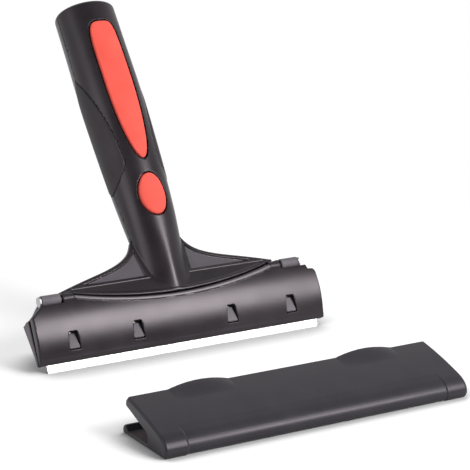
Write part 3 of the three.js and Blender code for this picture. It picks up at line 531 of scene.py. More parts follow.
@dataclass(frozen=True)
class Place:
    """Where the axes of a sub-assembly lie in the row frame: an origin and a lean back about x."""

    origin: Triple
    lean: float = 0.0

    def turned(self, vectors: Points) -> Points:
        """Directions in these axes, turned into the row frame.

        Args:
            vectors: The directions, one to a row.

        Returns:
            The same directions in the row frame.
        """
        c, s = cos(radians(self.lean)), sin(radians(self.lean))
        x, y, z = np.asarray(vectors, float).T
        return np.stack([x, y * c + z * s, z * c - y * s], axis=1)

    def to_row(self, points: Points) -> Points:
        """Points in these axes, in the row frame, both in millimetres."""
        return self.turned(points) + np.array(self.origin)

    def moved(self, x: float, y: float, z: float, lean: float = 0.0) -> "Place":
        """Axes that start at a point of these ones and lean back further."""
        return Place(tuple(self.to_row(np.array([[x, y, z]]))[0]), self.lean + lean)

    def point(self, x: float, y: float, z: float) -> Triple:
        """One point in the row frame, in metres."""
        return tuple(self.to_row(np.array([[x, y, z]]))[0] * MM)


def middle_of(node: str) -> np.ndarray:
    """Middle of a CAD node's box in millimetres."""
    low, high = (np.array(corner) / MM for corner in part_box(node))
    return (low + high) / 2


class Shade:
    """A node socket that takes part in Python expressions."""

    def __init__(self, recipe: "Recipe", socket: bpy.types.NodeSocket) -> None:
        """Keeps the recipe that the socket belongs to."""
        self.recipe = recipe
        self.socket = socket

    def maths(self, operation: str, *values: "Shade | float") -> "Shade":
        """A Math node on these values."""
        return self.recipe.node("ShaderNodeMath", {"operation": operation}, dict(enumerate(values)))

    def __add__(self, other: "Shade | float") -> "Shade":
        """Sum of two values."""
        return self.maths("ADD", self, other)

    def __sub__(self, other: "Shade | float") -> "Shade":
        """Difference of two values."""
        return self.maths("SUBTRACT", self, other)

    def __rsub__(self, other: float) -> "Shade":
        """A number less this value."""
        return self.maths("SUBTRACT", other, self)

    def __mul__(self, other: "Shade | float") -> "Shade":
        """Product of two values."""
        return self.maths("MULTIPLY", self, other)

    __radd__ = __add__
    __rmul__ = __mul__

    def most(self, other: "Shade | float") -> "Shade":
        """The larger of two values."""
        return self.maths("MAXIMUM", self, other)

    def swing(self, amount: float) -> "Shade":
        """A pattern about one half, turned into a change either way."""
        return (self - 0.5) * amount

    def ramp(self, low: float, high: float, start: float = 0.0, end: float = 1.0) -> "Shade":
        """This value taken smoothly from one range to another, and held at its ends.

        Args:
            low: Start of its own range.
            high: End of its own range.
            start: What low becomes.
            end: What high becomes.

        Returns:
            The new value.
        """
        return self.recipe.node(
            "ShaderNodeMapRange", {"interpolation_type": "SMOOTHSTEP", "clamp": True},
            {"Value": self, "From Min": low, "From Max": high, "To Min": start, "To Max": end})


class Recipe:
    """Node tree of one material or of the world."""

    def __init__(self, owner: "bpy.types.Material | bpy.types.World") -> None:
        """Starts from an empty tree.

        Args:
            owner: The material or the world.
        """
        owner.use_nodes = True
        self.tree = owner.node_tree
        self.tree.nodes.clear()
        self.output = "ShaderNodeOutput" + ("World" if isinstance(owner, bpy.types.World) else "Material")

    def node(self, kind: str, settings: dict | None = None, sockets: dict | None = None,
             out: "int | str" = 0) -> Shade:
        """Adds a node.

        Args:
            kind: The node's type.
            settings: Its own settings, set before its sockets.
            sockets: Values or links of its inputs, by name or number.
            out: The output that the caller goes on with.

        Returns:
            That output.
        """
        made = self.tree.nodes.new(kind)
        for name, value in (settings or {}).items():
            setattr(made, name, value)
        for name, value in (sockets or {}).items():
            if isinstance(value, Shade):
                self.tree.links.new(value.socket, made.inputs[name])
            else:
                made.inputs[name].default_value = value
        return Shade(self, made.outputs[out] if made.outputs else None)

    def coordinates(self) -> Shade:
        """Place on the piece in its own axes, in metres."""
        return self.node("ShaderNodeTexCoord", out="Object")

    def scaled(self, where: Shade, scale: Triple) -> Shade:
        """Coordinates scaled by axis."""
        return self.node("ShaderNodeVectorMath", {"operation": "MULTIPLY"}, {0: where, 1: scale})

    def noise(self, size_mm: float, detail: float = 2.0, rough: float = 0.5) -> Shade:
        """Soft cloudy pattern on the piece.

        Args:
            size_mm: Size of its features.
            detail: How many finer layers it has.
            rough: How strong the finer layers are.

        Returns:
            A value about one half.
        """
        return self.node("ShaderNodeTexNoise", {"normalize": True}, {
            "Vector": self.coordinates(), "Scale": 1 / (size_mm * MM),
            "Detail": detail, "Roughness": rough})

    def blend(self, share: "Shade | float", a: "Shade | Triple", b: "Shade | Triple") -> Shade:
        """Two colours mixed by a share.

        Args:
            share: Share of the second colour.
            a: First colour.
            b: Second colour.

        Returns:
            The mixed colour.
        """
        a, b = (end if isinstance(end, Shade) else (*end, 1.0) for end in (a, b))
        return self.node("ShaderNodeMix", {"data_type": "RGBA", "blend_type": "MIX"},
                         {0: share, 6: a, 7: b}, out=2)

    def bump(self, height: Shade, depth_mm: float) -> Shade:
        """Normal that follows a height pattern."""
        return self.node("ShaderNodeBump", {}, {"Height": height, "Strength": 1.0, "Distance": depth_mm * MM})

    def path(self, output: str) -> Shade:
        """One output of the light path."""
        return self.node("ShaderNodeLightPath", out=output)

    def close(self, surface: Shade) -> None:
        """Links the surface to the output."""
        self.node(self.output, {}, {"Surface": surface})

    def coat(self, sockets: dict) -> None:
        """Ends the tree in a Principled surface with these inputs."""
        self.close(self.node("ShaderNodeBsdfPrincipled", {}, sockets))


class Finish:
    """Base of the finishes: makes its material once."""

    title: str

    def material(self) -> bpy.types.Material:
        """Makes the material when it is first asked for.

        Returns:
            The material of this finish.
        """
        made = bpy.data.materials.get(self.title)
        if made is None:
            made = bpy.data.materials.new(self.title)
            self.mix(Recipe(made))
        return made

    def mix(self, recipe: Recipe) -> None:
        """Writes the material's nodes."""
        raise NotImplementedError


# Faintly pink tint of the gloss on mouldings and grips, and the span that most of a noise pattern fills.
SHEEN_TONE = (1.0, 0.9, 0.96, 1.0)
NOISE_SPAN = (0.3, 0.7)


@dataclass(frozen=True)
class MouldedPlastic(Finish):
    """Moulded plastic with a fine spark texture, and another tone where the piece asks for it, which paints a
    highlight or a shade there.
    """

    title: str
    dark: Triple
    light: Triple
    rough: float = 0.42
    grain_mm: float = 0.42
    grain_depth_mm: float = 0.008
    cloud_mm: float = 14.0
    shine: float = 0.5
    tone_and_painted_light: Triple | None = None
    tone_and_painted_light_dark: float = 0.75

    def mix(self, recipe: Recipe) -> None:
        """Grain and clouds in tone and gloss, with the grain in height too.

        Args:
            recipe: The material's nodes.
        """
        grain = recipe.noise(self.grain_mm, 3.0, 0.6)
        cloud = recipe.noise(self.cloud_mm)
        tone = (grain.swing(0.9) + cloud.swing(0.7) + 0.45).ramp(0.1, 0.8)
        colour = recipe.blend(tone, self.dark, self.light)
        if self.tone_and_painted_light is not None:
            share = recipe.node("ShaderNodeAttribute", {"attribute_name": TONE_AND_PAINTED_LIGHT}, out="Fac")
            shaded = tuple(part * self.tone_and_painted_light_dark for part in self.tone_and_painted_light)
            colour = recipe.blend(share, colour, recipe.blend(tone, shaded, self.tone_and_painted_light))
        recipe.coat({
            "Base Color": colour, "Roughness": self.rough + cloud.swing(0.12) + grain.swing(0.14),
            "Specular IOR Level": self.shine, "Specular Tint": SHEEN_TONE,
            "Normal": recipe.bump(grain, self.grain_depth_mm)})


@dataclass(frozen=True)
class SoftRubber(Finish):
    """Soft rubber with a dull skin and a faint bloom."""

    title: str
    deep: Triple
    pale: Triple
    rough: float = 0.6
    shine: float = 0.25
    grain_mm: float = 0.3
    grain_depth_mm: float = 0.008
    cloud_mm: float = 9.0

    def mix(self, recipe: Recipe) -> None:
        """Faint cloudy tone under a fine dull grain.

        Args:
            recipe: The material's nodes.
        """
        grain = recipe.noise(self.grain_mm)
        cloud = recipe.noise(self.cloud_mm, 3.0)
        colour = recipe.blend((cloud * 0.8 + grain * 0.2).ramp(*NOISE_SPAN), self.deep, self.pale)
        recipe.coat({
            "Base Color": colour, "Roughness": self.rough + grain.swing(0.16),
            "Specular IOR Level": self.shine, "Specular Tint": SHEEN_TONE,
            "Normal": recipe.bump(grain, self.grain_depth_mm)})


@dataclass(frozen=True)
class GroundSteel(Finish):
    """Steel with fine grinding lines, which are long on the axis where their number to the metre is low."""

    title: str
    colour: Triple
    shine: Triple
    rough: float = 0.3
    lines: Triple = (40.0, 4000.0, 4000.0)
    metal: float = 1.0
    line_depth_mm: float = 0.004
    cloud_mm: float = 6.0

    def mix(self, recipe: Recipe) -> None:
        """Fine lines in tone, gloss and height, over a cloudy tone.

        Args:
            recipe: The material's nodes.
        """
        lines = recipe.node("ShaderNodeTexNoise", {"normalize": True}, {
            "Vector": recipe.scaled(recipe.coordinates(), self.lines), "Scale": 1.0, "Detail": 3.0})
        cloud = recipe.noise(self.cloud_mm, 3.0, 0.55)
        colour = recipe.blend((lines * 0.6 + cloud * 0.4).ramp(*NOISE_SPAN), self.colour, self.shine)
        recipe.coat({
            "Base Color": colour, "Metallic": self.metal,
            "Roughness": self.rough + lines.swing(0.25) + cloud.swing(0.1),
            "Normal": recipe.bump(lines, self.line_depth_mm)})


@dataclass(frozen=True)
class Nylon(Finish):
    """Natural nylon, slightly milky."""

    title: str = "natural_nylon"
    pale: Triple = (0.72, 0.68, 0.58)
    deep: Triple = (0.62, 0.57, 0.46)
    rough: float = 0.45
    cloud_mm: float = 3.0
    cloud_depth_mm: float = 0.01

    def mix(self, recipe: Recipe) -> None:
        """Milky clouds with a low gloss.

        Args:
            recipe: The material's nodes.
        """
        cloud = recipe.noise(self.cloud_mm, 3.0)
        recipe.coat({
            "Base Color": recipe.blend(cloud.ramp(*NOISE_SPAN), self.deep, self.pale),
            "Roughness": self.rough + cloud.swing(0.2), "Normal": recipe.bump(cloud, self.cloud_depth_mm)})


# The other tone lightens the sunk wing panels: partly their textured floor, partly painted light from the
# lamp.
CASING_BLACK = MouldedPlastic(
    "casing_black", (0.011, 0.009, 0.0115), (0.019, 0.0155, 0.0195), rough=0.34, shine=0.43,
    tone_and_painted_light=(0.115, 0.104, 0.119))
# The pale other tone paints a highlight along the crest of the bead at the seam.
JAW_BLACK = MouldedPlastic(
    "jaw_black", (0.009, 0.0073, 0.009), (0.018, 0.0142, 0.017), rough=0.33, shine=0.45,
    grain_depth_mm=0.01, tone_and_painted_light=(0.26, 0.24, 0.25))
# The near-black other tone paints shade on the rear jaw under the wings and inside its end slots.
REAR_JAW_GREY = MouldedPlastic(
    "rear_jaw_grey", (0.1, 0.092, 0.103), (0.18, 0.166, 0.183), rough=0.6, shine=0.35,
    tone_and_painted_light=(0.016, 0.0135, 0.0165))
GUARD_BLACK = MouldedPlastic(
    "guard_black", (0.0185, 0.0175, 0.0215), (0.029, 0.0275, 0.0335), rough=0.38, shine=0.3)
PAD_BLACK = SoftRubber("pad_black", (0.016, 0.0135, 0.016), (0.024, 0.02, 0.0235), shine=0.45)
INLAY_RED = SoftRubber("inlay_red", (0.775, 0.098, 0.071), (0.845, 0.115, 0.086), rough=0.8, shine=0.18)
BUTTON_RED = MouldedPlastic(
    "button_red", (0.765, 0.098, 0.073), (0.835, 0.119, 0.09), rough=0.75, shine=0.2,
    grain_depth_mm=0.004)
BLADE_STEEL = GroundSteel("blade_steel", (0.345, 0.34, 0.337), (0.41, 0.404, 0.4), 0.55, metal=0.05)
ZINC_STEEL = GroundSteel(
    "zinc_steel", (0.16, 0.155, 0.16), (0.24, 0.235, 0.24), 0.65, (900.0, 900.0, 900.0))
SPRING_WIRE = GroundSteel(
    "spring_wire", (0.42, 0.41, 0.40), (0.62, 0.61, 0.60), 0.28, (700.0, 2500.0, 700.0))
NYLON = Nylon()


@dataclass
class Maker:
    """Turns solids into pieces of the scene."""

    made: list[str] = field(default_factory=list)
    tone_and_painted_light_fade: float = 0.5

    def piece(self, name: str, skin: Skin | Coil, place: Place, body: Body, slot: Slot, finish: Finish,
              *nodes: str, tone_and_painted_light: Form | None = None, stretch: Stretch | None = None) -> bpy.types.Object:
        """Args:
            name: Name of the piece.
            skin: What gives its mesh.
            place: Axes that the solid is in.
            body: Body that it rides on.
            slot: Not used.
            finish: Its finish.
            nodes: CAD nodes that it stands for.
            tone_and_painted_light: Room in which its skin takes the finish's other tone, as painted light or
                painted shade.
            stretch: Far end of a spring; when given, the piece's placing is baked into its mesh and it hangs
                on no body.

        Returns:
            The piece.
        """
        points, faces, normals = skin.mesh()
        mesh = bpy.data.meshes.new(name)
        mesh.from_pydata((place.to_row(points) * MM).tolist(), [], faces.tolist())
        mesh.polygons.foreach_set("use_smooth", np.ones(len(mesh.polygons), bool))
        mesh.normals_split_custom_set_from_vertices(place.turned(normals).tolist())
        mesh.materials.append(finish.material())
        if tone_and_painted_light is not None:
            share = mesh.attributes.new(TONE_AND_PAINTED_LIGHT, "FLOAT", "POINT")
            shares = np.clip(0.5 - tone_and_painted_light(points) / self.tone_and_painted_light_fade, 0, 1)
            share.data.foreach_set("value", shares.astype(np.float32))
        made = bpy.data.objects.new(name, mesh)
        bpy.context.collection.objects.link(made)
        if stretch is None:
            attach(made, body.value)
        else:
            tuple(stretch.start)
            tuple(stretch.end)
            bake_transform(made)
        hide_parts(*nodes)
        self.made.append(name)
        log.info("%s: %d faces for %s", name, len(faces), ", ".join(nodes))
        return made

    def dress(self, finish: Finish, *nodes: str) -> None:
        """Gives CAD nodes that stay in view their finish.

        Args:
            finish: The finish.
            nodes: Names of the nodes.
        """
        for node in nodes:
            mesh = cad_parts[node].data
            mesh.materials.clear()
            mesh.materials.append(finish.material())
            log.info("%s: CAD solid in %s", node, finish.title)


@dataclass
class Bar:
    """The swelling round bar of the handle, in the handle's axes: z runs up it and y to the back."""

    at: tuple[float, ...] = (-8, 14, 46, 72, 106, 134, 156)
    side: tuple[float, ...] = (11.3, 12.2, 14.4, 15.4, 16.2, 15.9, 15.8)
    front: tuple[float, ...] = (6.5, 9.6, 13, 14.8, 15.6, 14.9, 14)
    back: tuple[float, ...] = (8, 10.4, 13.6, 15.4, 16.2, 16.1, 16)
    length: float = 156
    butt_round: float = 1.8
    keel_from: float = 42
    keel_full: float = 2
    keel_power: float = 1.3
    keel_radius: float = 4.5
    slice_mm: float = 0.5
    rays: int = 121

    def size(self, values: tuple[float, ...], height: Values) -> Values:
        """Half size at each height, on a smooth curve through the stations.

        Args:
            values: Half sizes at the stations.
            height: Heights up the bar.

        Returns:
            Half sizes there.
        """
        at, v = np.array(self.at, float), np.array(values, float)
        height = np.asarray(height, float)
        low, high = np.maximum(np.arange(len(at)) - 1, 0), np.minimum(np.arange(len(at)) + 1, len(at) - 1)
        slope = (v[high] - v[low]) / (at[high] - at[low])
        i = np.clip(np.searchsorted(at, height, side="right") - 1, 0, len(at) - 2)
        span = at[i + 1] - at[i]
        t = np.clip((height - at[i]) / span, 0, 1)
        curve = (1 + 2 * t) * (1 - t) ** 2 * v[i] + t * t * (3 - 2 * t) * v[i + 1]
        return curve + span * (t * (1 - t) ** 2 * slope[i] - t * t * (1 - t) * slope[i + 1])

    def ring(self, heights: Values, around: Values, grow: float) -> tuple[Values, Values]:
        """The section at some heights: an oval whose front turns into a keel with a round nose.

        Args:
            heights: Heights up the bar.
            around: Ways round from the front to the back.
            grow: How much it is grown.

        Returns:
            Radius at each height and way round, and how square the skin is to it.
        """
        share = np.clip((heights - self.keel_full) / (self.keel_from - self.keel_full), 0, 1)
        power = self.keel_power + (2 - self.keel_power) * share * share * (3 - 2 * share)
        side, front, back = (
            self.size(values, heights)[:, None] for values in (self.side, self.front, self.back))
        s, c = np.sin(around), np.cos(around)
        ahead = c > TINY
        n = np.where(ahead, power[:, None], 2.0)
        nose = self.keel_radius * (2 - n) / (2 - self.keel_power)
        a, b = side - nose, np.where(ahead, front, back) - nose
        u, v = np.maximum(s, 0) ** (2 - 2 / n) / a, np.abs(c) ** (2 - 2 / n) / b
        out = (nose + grow) / np.hypot(u, v)
        x, y = a * np.maximum(s, 0) ** (2 / n) + u * out, np.sign(c) * (b * np.abs(c) ** (2 / n) + v * out)
        radius = np.array([np.interp(around, np.arctan2(i, j), np.hypot(i, j)) for i, j in zip(x, y)])
        return radius, 1 / np.hypot(1, np.gradient(radius, around, axis=1) / radius)

    def form(self, grow: float = 0.0, top: float | None = None) -> Form:
        """The bar, grown or shrunk all round.

        Args:
            grow: How much it is grown.
            top: Height of its top, or none for the butt.

        Returns:
            The solid in the handle's axes.
        """
        end = self.length + max(grow, 0) if top is None else top
        heights = np.arange(self.at[0], self.at[-1] + self.slice_mm, self.slice_mm)
        around = np.linspace(0, np.pi, self.rays)
        radius, square = self.ring(heights, around, grow)
        # Just short of the ends of the table, so that each cell has a next one.
        last_slice, last_ray = len(heights) - 1.001, len(around) - 1.001

        def reach(p: Points) -> Values:
            """Distance to the section, with the butt rounded over.

            Args:
                p: Points in the handle's axes.

            Returns:
                One distance for each point.
            """
            up = np.clip((p[:, 2] - heights[0]) / self.slice_mm, 0, last_slice)
            way = np.arctan2(np.abs(p[:, 0]), -p[:, 1]) * (last_ray / np.pi)
            i, j = up.astype(int), way.astype(int)
            f, g = up - i, way - j
            low = radius[i, j] * (1 - g) + radius[i, j + 1] * g
            high = radius[i + 1, j] * (1 - g) + radius[i + 1, j + 1] * g
            off = np.hypot(p[:, 0], p[:, 1]) - low * (1 - f) - high * f
            return rounded_meet(off * square[i, j], p[:, 2] - end, self.butt_round)

        return Form(reach)


@dataclass
class Head:
    """Sizes that the jaws, wings and hinges share, in the head's axes: z runs up the blade, y to the back."""

    lean: float = 25.0
    fit: float = 0.3
    slide: float = 0.35
    blade_length: float = 150.0
    blade_height: float = 20.0
    blade_thickness: float = 0.6
    blade_reach: float = 3.8
    jaw_overhang: float = 4.0
    jaw_wall: float = 2.4
    lip_height: float = 5.2
    rear_splay: float = 20.8
    hinge: Pair = (0.6, 34.2)
    barrel_radius: float = 2.8
    barrel_length: float = 9.8
    barrel_inset: float = 7.7
    barrel_lap: float = 0.7
    knuckle_radius: float = 2.3
    knuckle_length: float = 6.0
    knuckle_gap: float = 0.9
    pin_radius: float = 1.2
    seam: float = 0.6
    wing_tip_gap: float = 2.7
    wing_tip_height: float = 37.8
    wing_tip_thickness: float = 0.8
    wing_root: Pair = (13.4, 61.5)
    wing_sweep: Pair = (14.6, 45.6)
    wing_reach: Pair = (31.5, 46.3)
    wing_front: float = 2.6
    wing_back: float = 11.0
    wing_lean: float = 20.0
    wing_rim: float = 2.0
    rib_height: float = 38.2
    rib_band: float = 1.0
    panel_depth: float = 1.2
    panel_border: float = 1.4
    apron_mid: float = 28.9
    apron_foot: float = 28.0
    apron_flare: float = 6.2
    apron_wall: float = 2.4
    jaw_screws: tuple[Pair, ...] = ((20.0, 43.5), (35.0, 40.1))
    screw_hole: float = 1.75
    window_margin: float = 18.8
    window_spacing: float = 34.2
    window_top: float = 2.1
    window_foot: float = 3.1
    window_height: float = 8.6
    window_rise: float = 5.2
    spring_x: float = 41.0
    spring_height: float = 24.5
    stud_radius: float = 1.2
    stud_length: float = 1.6
    corner_height: float = 26.8
    bead_radius: float = 1.3
    bead_sink: Pair = (0.75, 1.2)
    bead_half: float = 54.4
    # Half width and fade of the painted highlight along a bead's crest.
    painted_highlight_half: float = 0.45
    rib_radius: float = 0.5
    rib_half: float = 54.0
    rib_sink: float = 0.25
    bead_foot: float = 26.0
    bead_back: float = 2.0
    painted_highlight_fade: float = 0.6

    def __post_init__(self) -> None:
        """Works out the sizes that follow from the driving ones."""
        self.jaw_half = self.blade_length / 2 + self.jaw_overhang
        self.seat_back = self.blade_thickness / 2 + self.fit
        self.barrel_outer = self.jaw_half - self.barrel_inset
        self.barrel_inner = self.barrel_outer - self.barrel_length
        self.knuckle_outer = self.barrel_inner - self.knuckle_gap
        self.knuckle_inner = self.knuckle_outer - self.knuckle_length
        self.wing_half = self.barrel_inner - self.wing_tip_gap
        self.apron_tip = self.wing_tip_height - self.wing_tip_thickness
        self.shoulder = self.hinge[1] - self.barrel_radius + self.barrel_lap
        self.window_low = self.blade_reach + self.window_rise
        self.window_high = self.window_low + self.window_height
        outer = self.jaw_half - self.window_margin
        inner = outer - self.window_spacing
        self.windows = (-outer, -inner, inner, outer)
        self.splay_start = self.blade_reach + self.lip_height
        self.splay_slope = tan(radians(self.rear_splay))
        self.flange_front = self.wing_back + self.fit
        self.flange_back = self.flange_front + self.jaw_wall
        self.splay_end = self.splay_start + (self.flange_front - self.seat_back) / self.splay_slope
        self.chamfer_x = self.barrel_outer + self.knuckle_gap
        self.wing_rise = (self.wing_back - self.wing_front) / tan(radians(self.wing_lean))
        slant = hypot(self.apron_flare, self.rib_height - self.apron_foot)
        self.apron_in_y = self.apron_wall * (self.rib_height - self.apron_foot) / slant
        self.apron_in_z = self.apron_wall * self.apron_flare / slant

    def place(self) -> Place:
        """Finds the head's axes from the two hinge pins.

        Returns:
            The axes.
        """
        turned = Place((0, 0, 0), self.lean).turned(np.array([[0, *self.hinge]]))[0]
        pins = (middle_of("hinge_pin_left") + middle_of("hinge_pin_right")) / 2
        return Place(tuple(pins - turned), self.lean)

    def wing_edge(self, inset: float, steps: int = 24) -> np.ndarray:
        """Upper edge of the right wing from the neck to the tip, moved in by an inset.

        Args:
            inset: How far it is moved in.
            steps: Number of straight runs.

        Returns:
            Points in x and z.
        """
        line = bezier([self.wing_root, self.wing_sweep, self.wing_reach,
                       (self.wing_half, self.wing_tip_height)], steps)
        along = np.gradient(line, axis=0)
        along /= np.linalg.norm(along, axis=1, keepdims=True)
        return line + inset * np.stack([along[:, 1], -along[:, 0]], axis=1)

    def apron_edge(self, drop: float, half: float | None = None, steps: int = 28) -> np.ndarray:
        """Lower edge of the apron, from right to left.

        Args:
            drop: How far it is lowered.
            half: Half its width, or none for the whole apron.
            steps: Number of straight runs.

        Returns:
            Points in x and z.
        """
        half = self.wing_half if half is None else half
        rise = (self.apron_tip - self.apron_mid) * (half / self.wing_half) ** 2
        x = np.linspace(half, -half, steps + 1)
        return np.stack([x, self.apron_mid - drop + rise * (x / half) ** 2], axis=1)

    def window(self, x: float, inset: float, low: float, high: float, corner: float) -> Form:
        """One window through the jaws, narrower at the top.

        Args:
            x: Its centre line.
            inset: How far its sides are moved in.
            low: Its foot.
            high: Its top.
            corner: Radius of its corners.

        Returns:
            The solid that fills it.
        """
        def half(z: float) -> float:
            """Half its width at a height."""
            share = (z - self.window_low) / self.window_height
            return self.window_foot - (self.window_foot - self.window_top) * share - inset - corner
        low, high = low + corner, high - corner
        foot, top = half(low), half(high)
        return Outline([(x - foot, low), (x + foot, low), (x + top, high), (x - top, high)],
                       corner).through_y(-FAR, FAR)

    def seam_room(self) -> Form:
        """Room along the seam that its bead stays in."""
        half = self.bead_half
        return block((-half, -FAR, self.bead_foot), (half, self.bead_back, self.apron_tip))

    def bead(self, skin: Form, face: Form) -> Form:
        """Bead along the seam, just inside the edge where a skin meets a face's outline.

        Args:
            skin: Solid whose skin carries it.
            face: Outline that ends the skin.

        Returns:
            The bead.
        """
        deep, inset = self.bead_sink
        line = Form(lambda p: np.hypot(skin(p) + deep, face(p) + inset) - self.bead_radius)
        return line.meet(self.seam_room(), SOFT)

    def crest(self, skin: Form, face: Form) -> Form:
        """Strip along the outermost line of a bead, on which the jaw's pale tone paints a highlight.

        Args:
            skin: Solid whose skin carries the bead.
            face: Outline that ends the skin.

        Returns:
            The strip.
        """
        deep, inset = self.bead_sink
        line = Form(lambda p: self.painted_highlight_fade * (
            np.hypot(skin(p) + deep - self.bead_radius, face(p) + inset) - self.painted_highlight_half))
        return line.meet(self.seam_room())

    def rear_face(self, height: float) -> float:
        """Depth of the rear jaw's inner face at a height."""
        return self.seat_back + max(height - self.splay_start, 0) * self.splay_slope


@dataclass
class Handle:
    """The two casings of the handle with the red inlay and the leaf-shaped pads."""

    head: Head
    bar: Bar = field(default_factory=Bar)
    lean: float = 11.2
    start: Pair = (4.6, 30.7)
    wall: float = 3.2
    butt_wall: float = 4.0
    blend_radius: float = 0.9
    keel_lift: float = 0.8
    seam_gap: float = 0.02
    step: float = 0.6
    inlay_low: float = 66.0
    inlay_belly: float = 110.0
    inlay_high: float = 143.4
    inlay_half: float = 7.4
    inlay_power: float = 5.0
    inlay_depth: float = 1.9
    inlay_proud: float = 0.35
    inlay_groove: float = 0.8
    pad_low: float = 53.6
    pad_belly: float = 68.0
    pad_high: float = 118.0
    pad_half: float = 12.0
    pad_inner: float = 6.6
    pad_centre: float = 0.7
    pad_depth: float = 1.9
    pad_proud: float = 0.3
    pad_gap: float = 0.1
    button_centre: float = 47.0
    button_half: Pair = (6.9, 10.8)
    rod_half: float = 2.6
    guide: Pair = (22.0, 25.0)
    screws: Pair = (86.0, 128.0)
    screw_seat: float = 8.0
    screw_tip: float = -8.5
    screw_head: float = 2.8
    post_radius: float = 4.6
    spring_at: float = 56.0
    spring_seat: float = 5.3
    spring_post: float = 3.2
    button_gap: float = 0.3
    oval_points: int = 48
    wing_screw_from: float = 7.0
    wing_round: float = 0.9
    keel_round: float = 0.8
    pad_round: float = 0.7
    pad_out: float = 18.0
    pad_curve: tuple[Pair, ...] = ((0.8, 11.0), (1.0, 18.0), (1.0, 7.0), (0.4, 0.5))
    front_room: Section = ((-13.0, 26.0), (52.0, 196.0))
    rear_room: Room = ((-17.0, 2.0, 36.0), (17.0, 55.0, 194.0))
    inlay_room: Room = ((-8.0, -17.0, 65.0), (8.0, -9.0, 144.5))
    pad_room: Section = ((-13.0, 53.0), (14.0, 119.0))
    inlay_step: float = 0.45
    inlay_points: int = 65
    pad_runs: tuple[int, int] = (20, 14)
    tone_inset: float = 0.3

    def to_bar(self, points: Points) -> Points:
        """Takes points from the head's axes into the handle's.

        Args:
            points: Points in the head's axes.

        Returns:
            The same points in the handle's axes.
        """
        c, s = cos(radians(self.lean)), sin(radians(self.lean))
        y, z = points[:, 1] - self.start[0], points[:, 2] - self.start[1]
        return np.stack([points[:, 0], y * c - z * s, y * s + z * c], axis=1)

    def place(self) -> Place:
        """The handle's axes in the row frame."""
        return self.head.place().moved(0, *self.start, lean=self.lean)

    def inlay_outline(self) -> np.ndarray:
        """Outline of the red inlay: a long drop with a blunt upper end.

        Returns:
            Points in x and z.
        """
        turn = np.linspace(-np.pi / 2, np.pi / 2, self.inlay_points)
        power = np.where(turn < 0, 1, 2 / self.inlay_power)
        reach = np.where(turn < 0, self.inlay_belly - self.inlay_low, self.inlay_high - self.inlay_belly)
        right = np.stack([self.inlay_half * np.maximum(np.cos(turn), 0) ** power,
                          self.inlay_belly + reach * np.sign(turn) * np.abs(np.sin(turn)) ** power], axis=1)
        return np.concatenate([right, mirrored(right)[1:-1]])

    def pad_outline(self) -> np.ndarray:
        """Outline of a leaf-shaped pad.

        Returns:
            Points in y and z.
        """
        half, low, high, belly = self.pad_half, self.pad_low, self.pad_high, self.pad_belly
        tip, above, below, foot = ((-across * half, along) for across, along in self.pad_curve)
        upper = bezier([(0, high), (tip[0], high - tip[1]), (above[0], belly + above[1]), (-half, belly)],
                       self.pad_runs[0])
        lower = bezier([(-half, belly), (below[0], belly - below[1]), (foot[0], low + foot[1]), (0, low)],
                       self.pad_runs[1])
        front = np.concatenate([upper, lower[1:]])
        return np.concatenate([front, mirrored(front)[1:-1]]) + np.array([self.pad_centre, 0])

    def button_oval(self, grow: float) -> Form:
        """Oval of the button, pushed through the front of the handle.

        Args:
            grow: How far it is grown all round.

        Returns:
            The solid in the handle's axes.
        """
        turn = np.linspace(0, 2 * np.pi, self.oval_points + 1)[:-1]
        oval = np.stack([self.button_half[0] * np.cos(turn),
                         self.button_centre + self.button_half[1] * np.sin(turn)], axis=1)
        return Outline(oval, grow).through_y(-FAR, 0)

    def hollow(self) -> Form:
        """Room inside the handle. The posts for screws and spring and the rod's guide are left standing.

        Returns:
            The room in the handle's axes.
        """
        channel = self.rod_half + self.head.slide
        low, high = self.guide
        room = self.bar.form(-self.wall, self.bar.length - self.butt_wall).cut(slab(Axis.Z, low, high))
        room = room.join(block((-channel, -channel, low - LAP), (channel, channel, high + LAP)))
        for at in self.screws:
            room = room.cut(round_bar(Axis.Y, self.post_radius, -FAR, FAR, (0, at)), BROAD)
        return room.cut(round_bar(Axis.Y, self.spring_post, self.spring_seat, FAR, (0, self.spring_at)))

    def recesses(self) -> list[tuple[Form, float]]:
        """Pockets for the inlay, the pads, the button and the screws.

        Returns:
            Each pocket in the handle's axes, with the radius of its edge.
        """
        fit = self.head.fit

        def sunk(tool: Form, depth: float) -> Form:
            """The outer part of a tool, down to a depth under the bar's surface."""
            return tool.cut(self.bar.form(-depth, self.bar.length - depth))

        inlay = Outline(self.inlay_outline(), self.inlay_groove).through_y(-FAR, 0)
        leaf = Outline(self.pad_outline(), self.pad_gap)
        found = [(sunk(inlay, self.inlay_depth + fit), CRISP)]
        for side in Side:
            pad = leaf.through_x(*on_side(side, self.pad_inner - fit, FAR))
            found.append((sunk(pad, self.pad_depth + fit), TIGHT))
        found.append((self.button_oval(self.head.slide + self.button_gap), EASED))
        for at in self.screws:
            found.append((round_bar(Axis.Y, self.head.screw_hole, self.screw_tip, FAR, (0, at)), CRISP))
            found.append((round_bar(Axis.Y, self.screw_head, self.screw_seat, FAR, (0, at)), SOFT))
        return found

    def panels(self, inset: float) -> Form:
        """Room of the sunk panels.

        Args:
            inset: How far its sides are moved in and its floor is moved back.

        Returns:
            The room in the head's axes.
        """
        head = self.head
        depth, rib_top = head.panel_depth + inset, head.rib_height + head.rib_band
        base = rib_top + inset
        front = Outline([(head.wing_front + depth, base), (head.wing_back + depth, rib_top + head.wing_rise),
                         (-FAR, FAR), (-FAR, base)])
        sunk = head.wing_edge(head.wing_rim + inset)
        room = Outline([*sunk, *mirrored(sunk)]).through_y(-FAR, FAR).meet(front.through_x(-FAR, FAR), SOFT)
        return room.cut(self.bar.form(head.panel_border + inset).seen_from(self.to_bar), FINE)

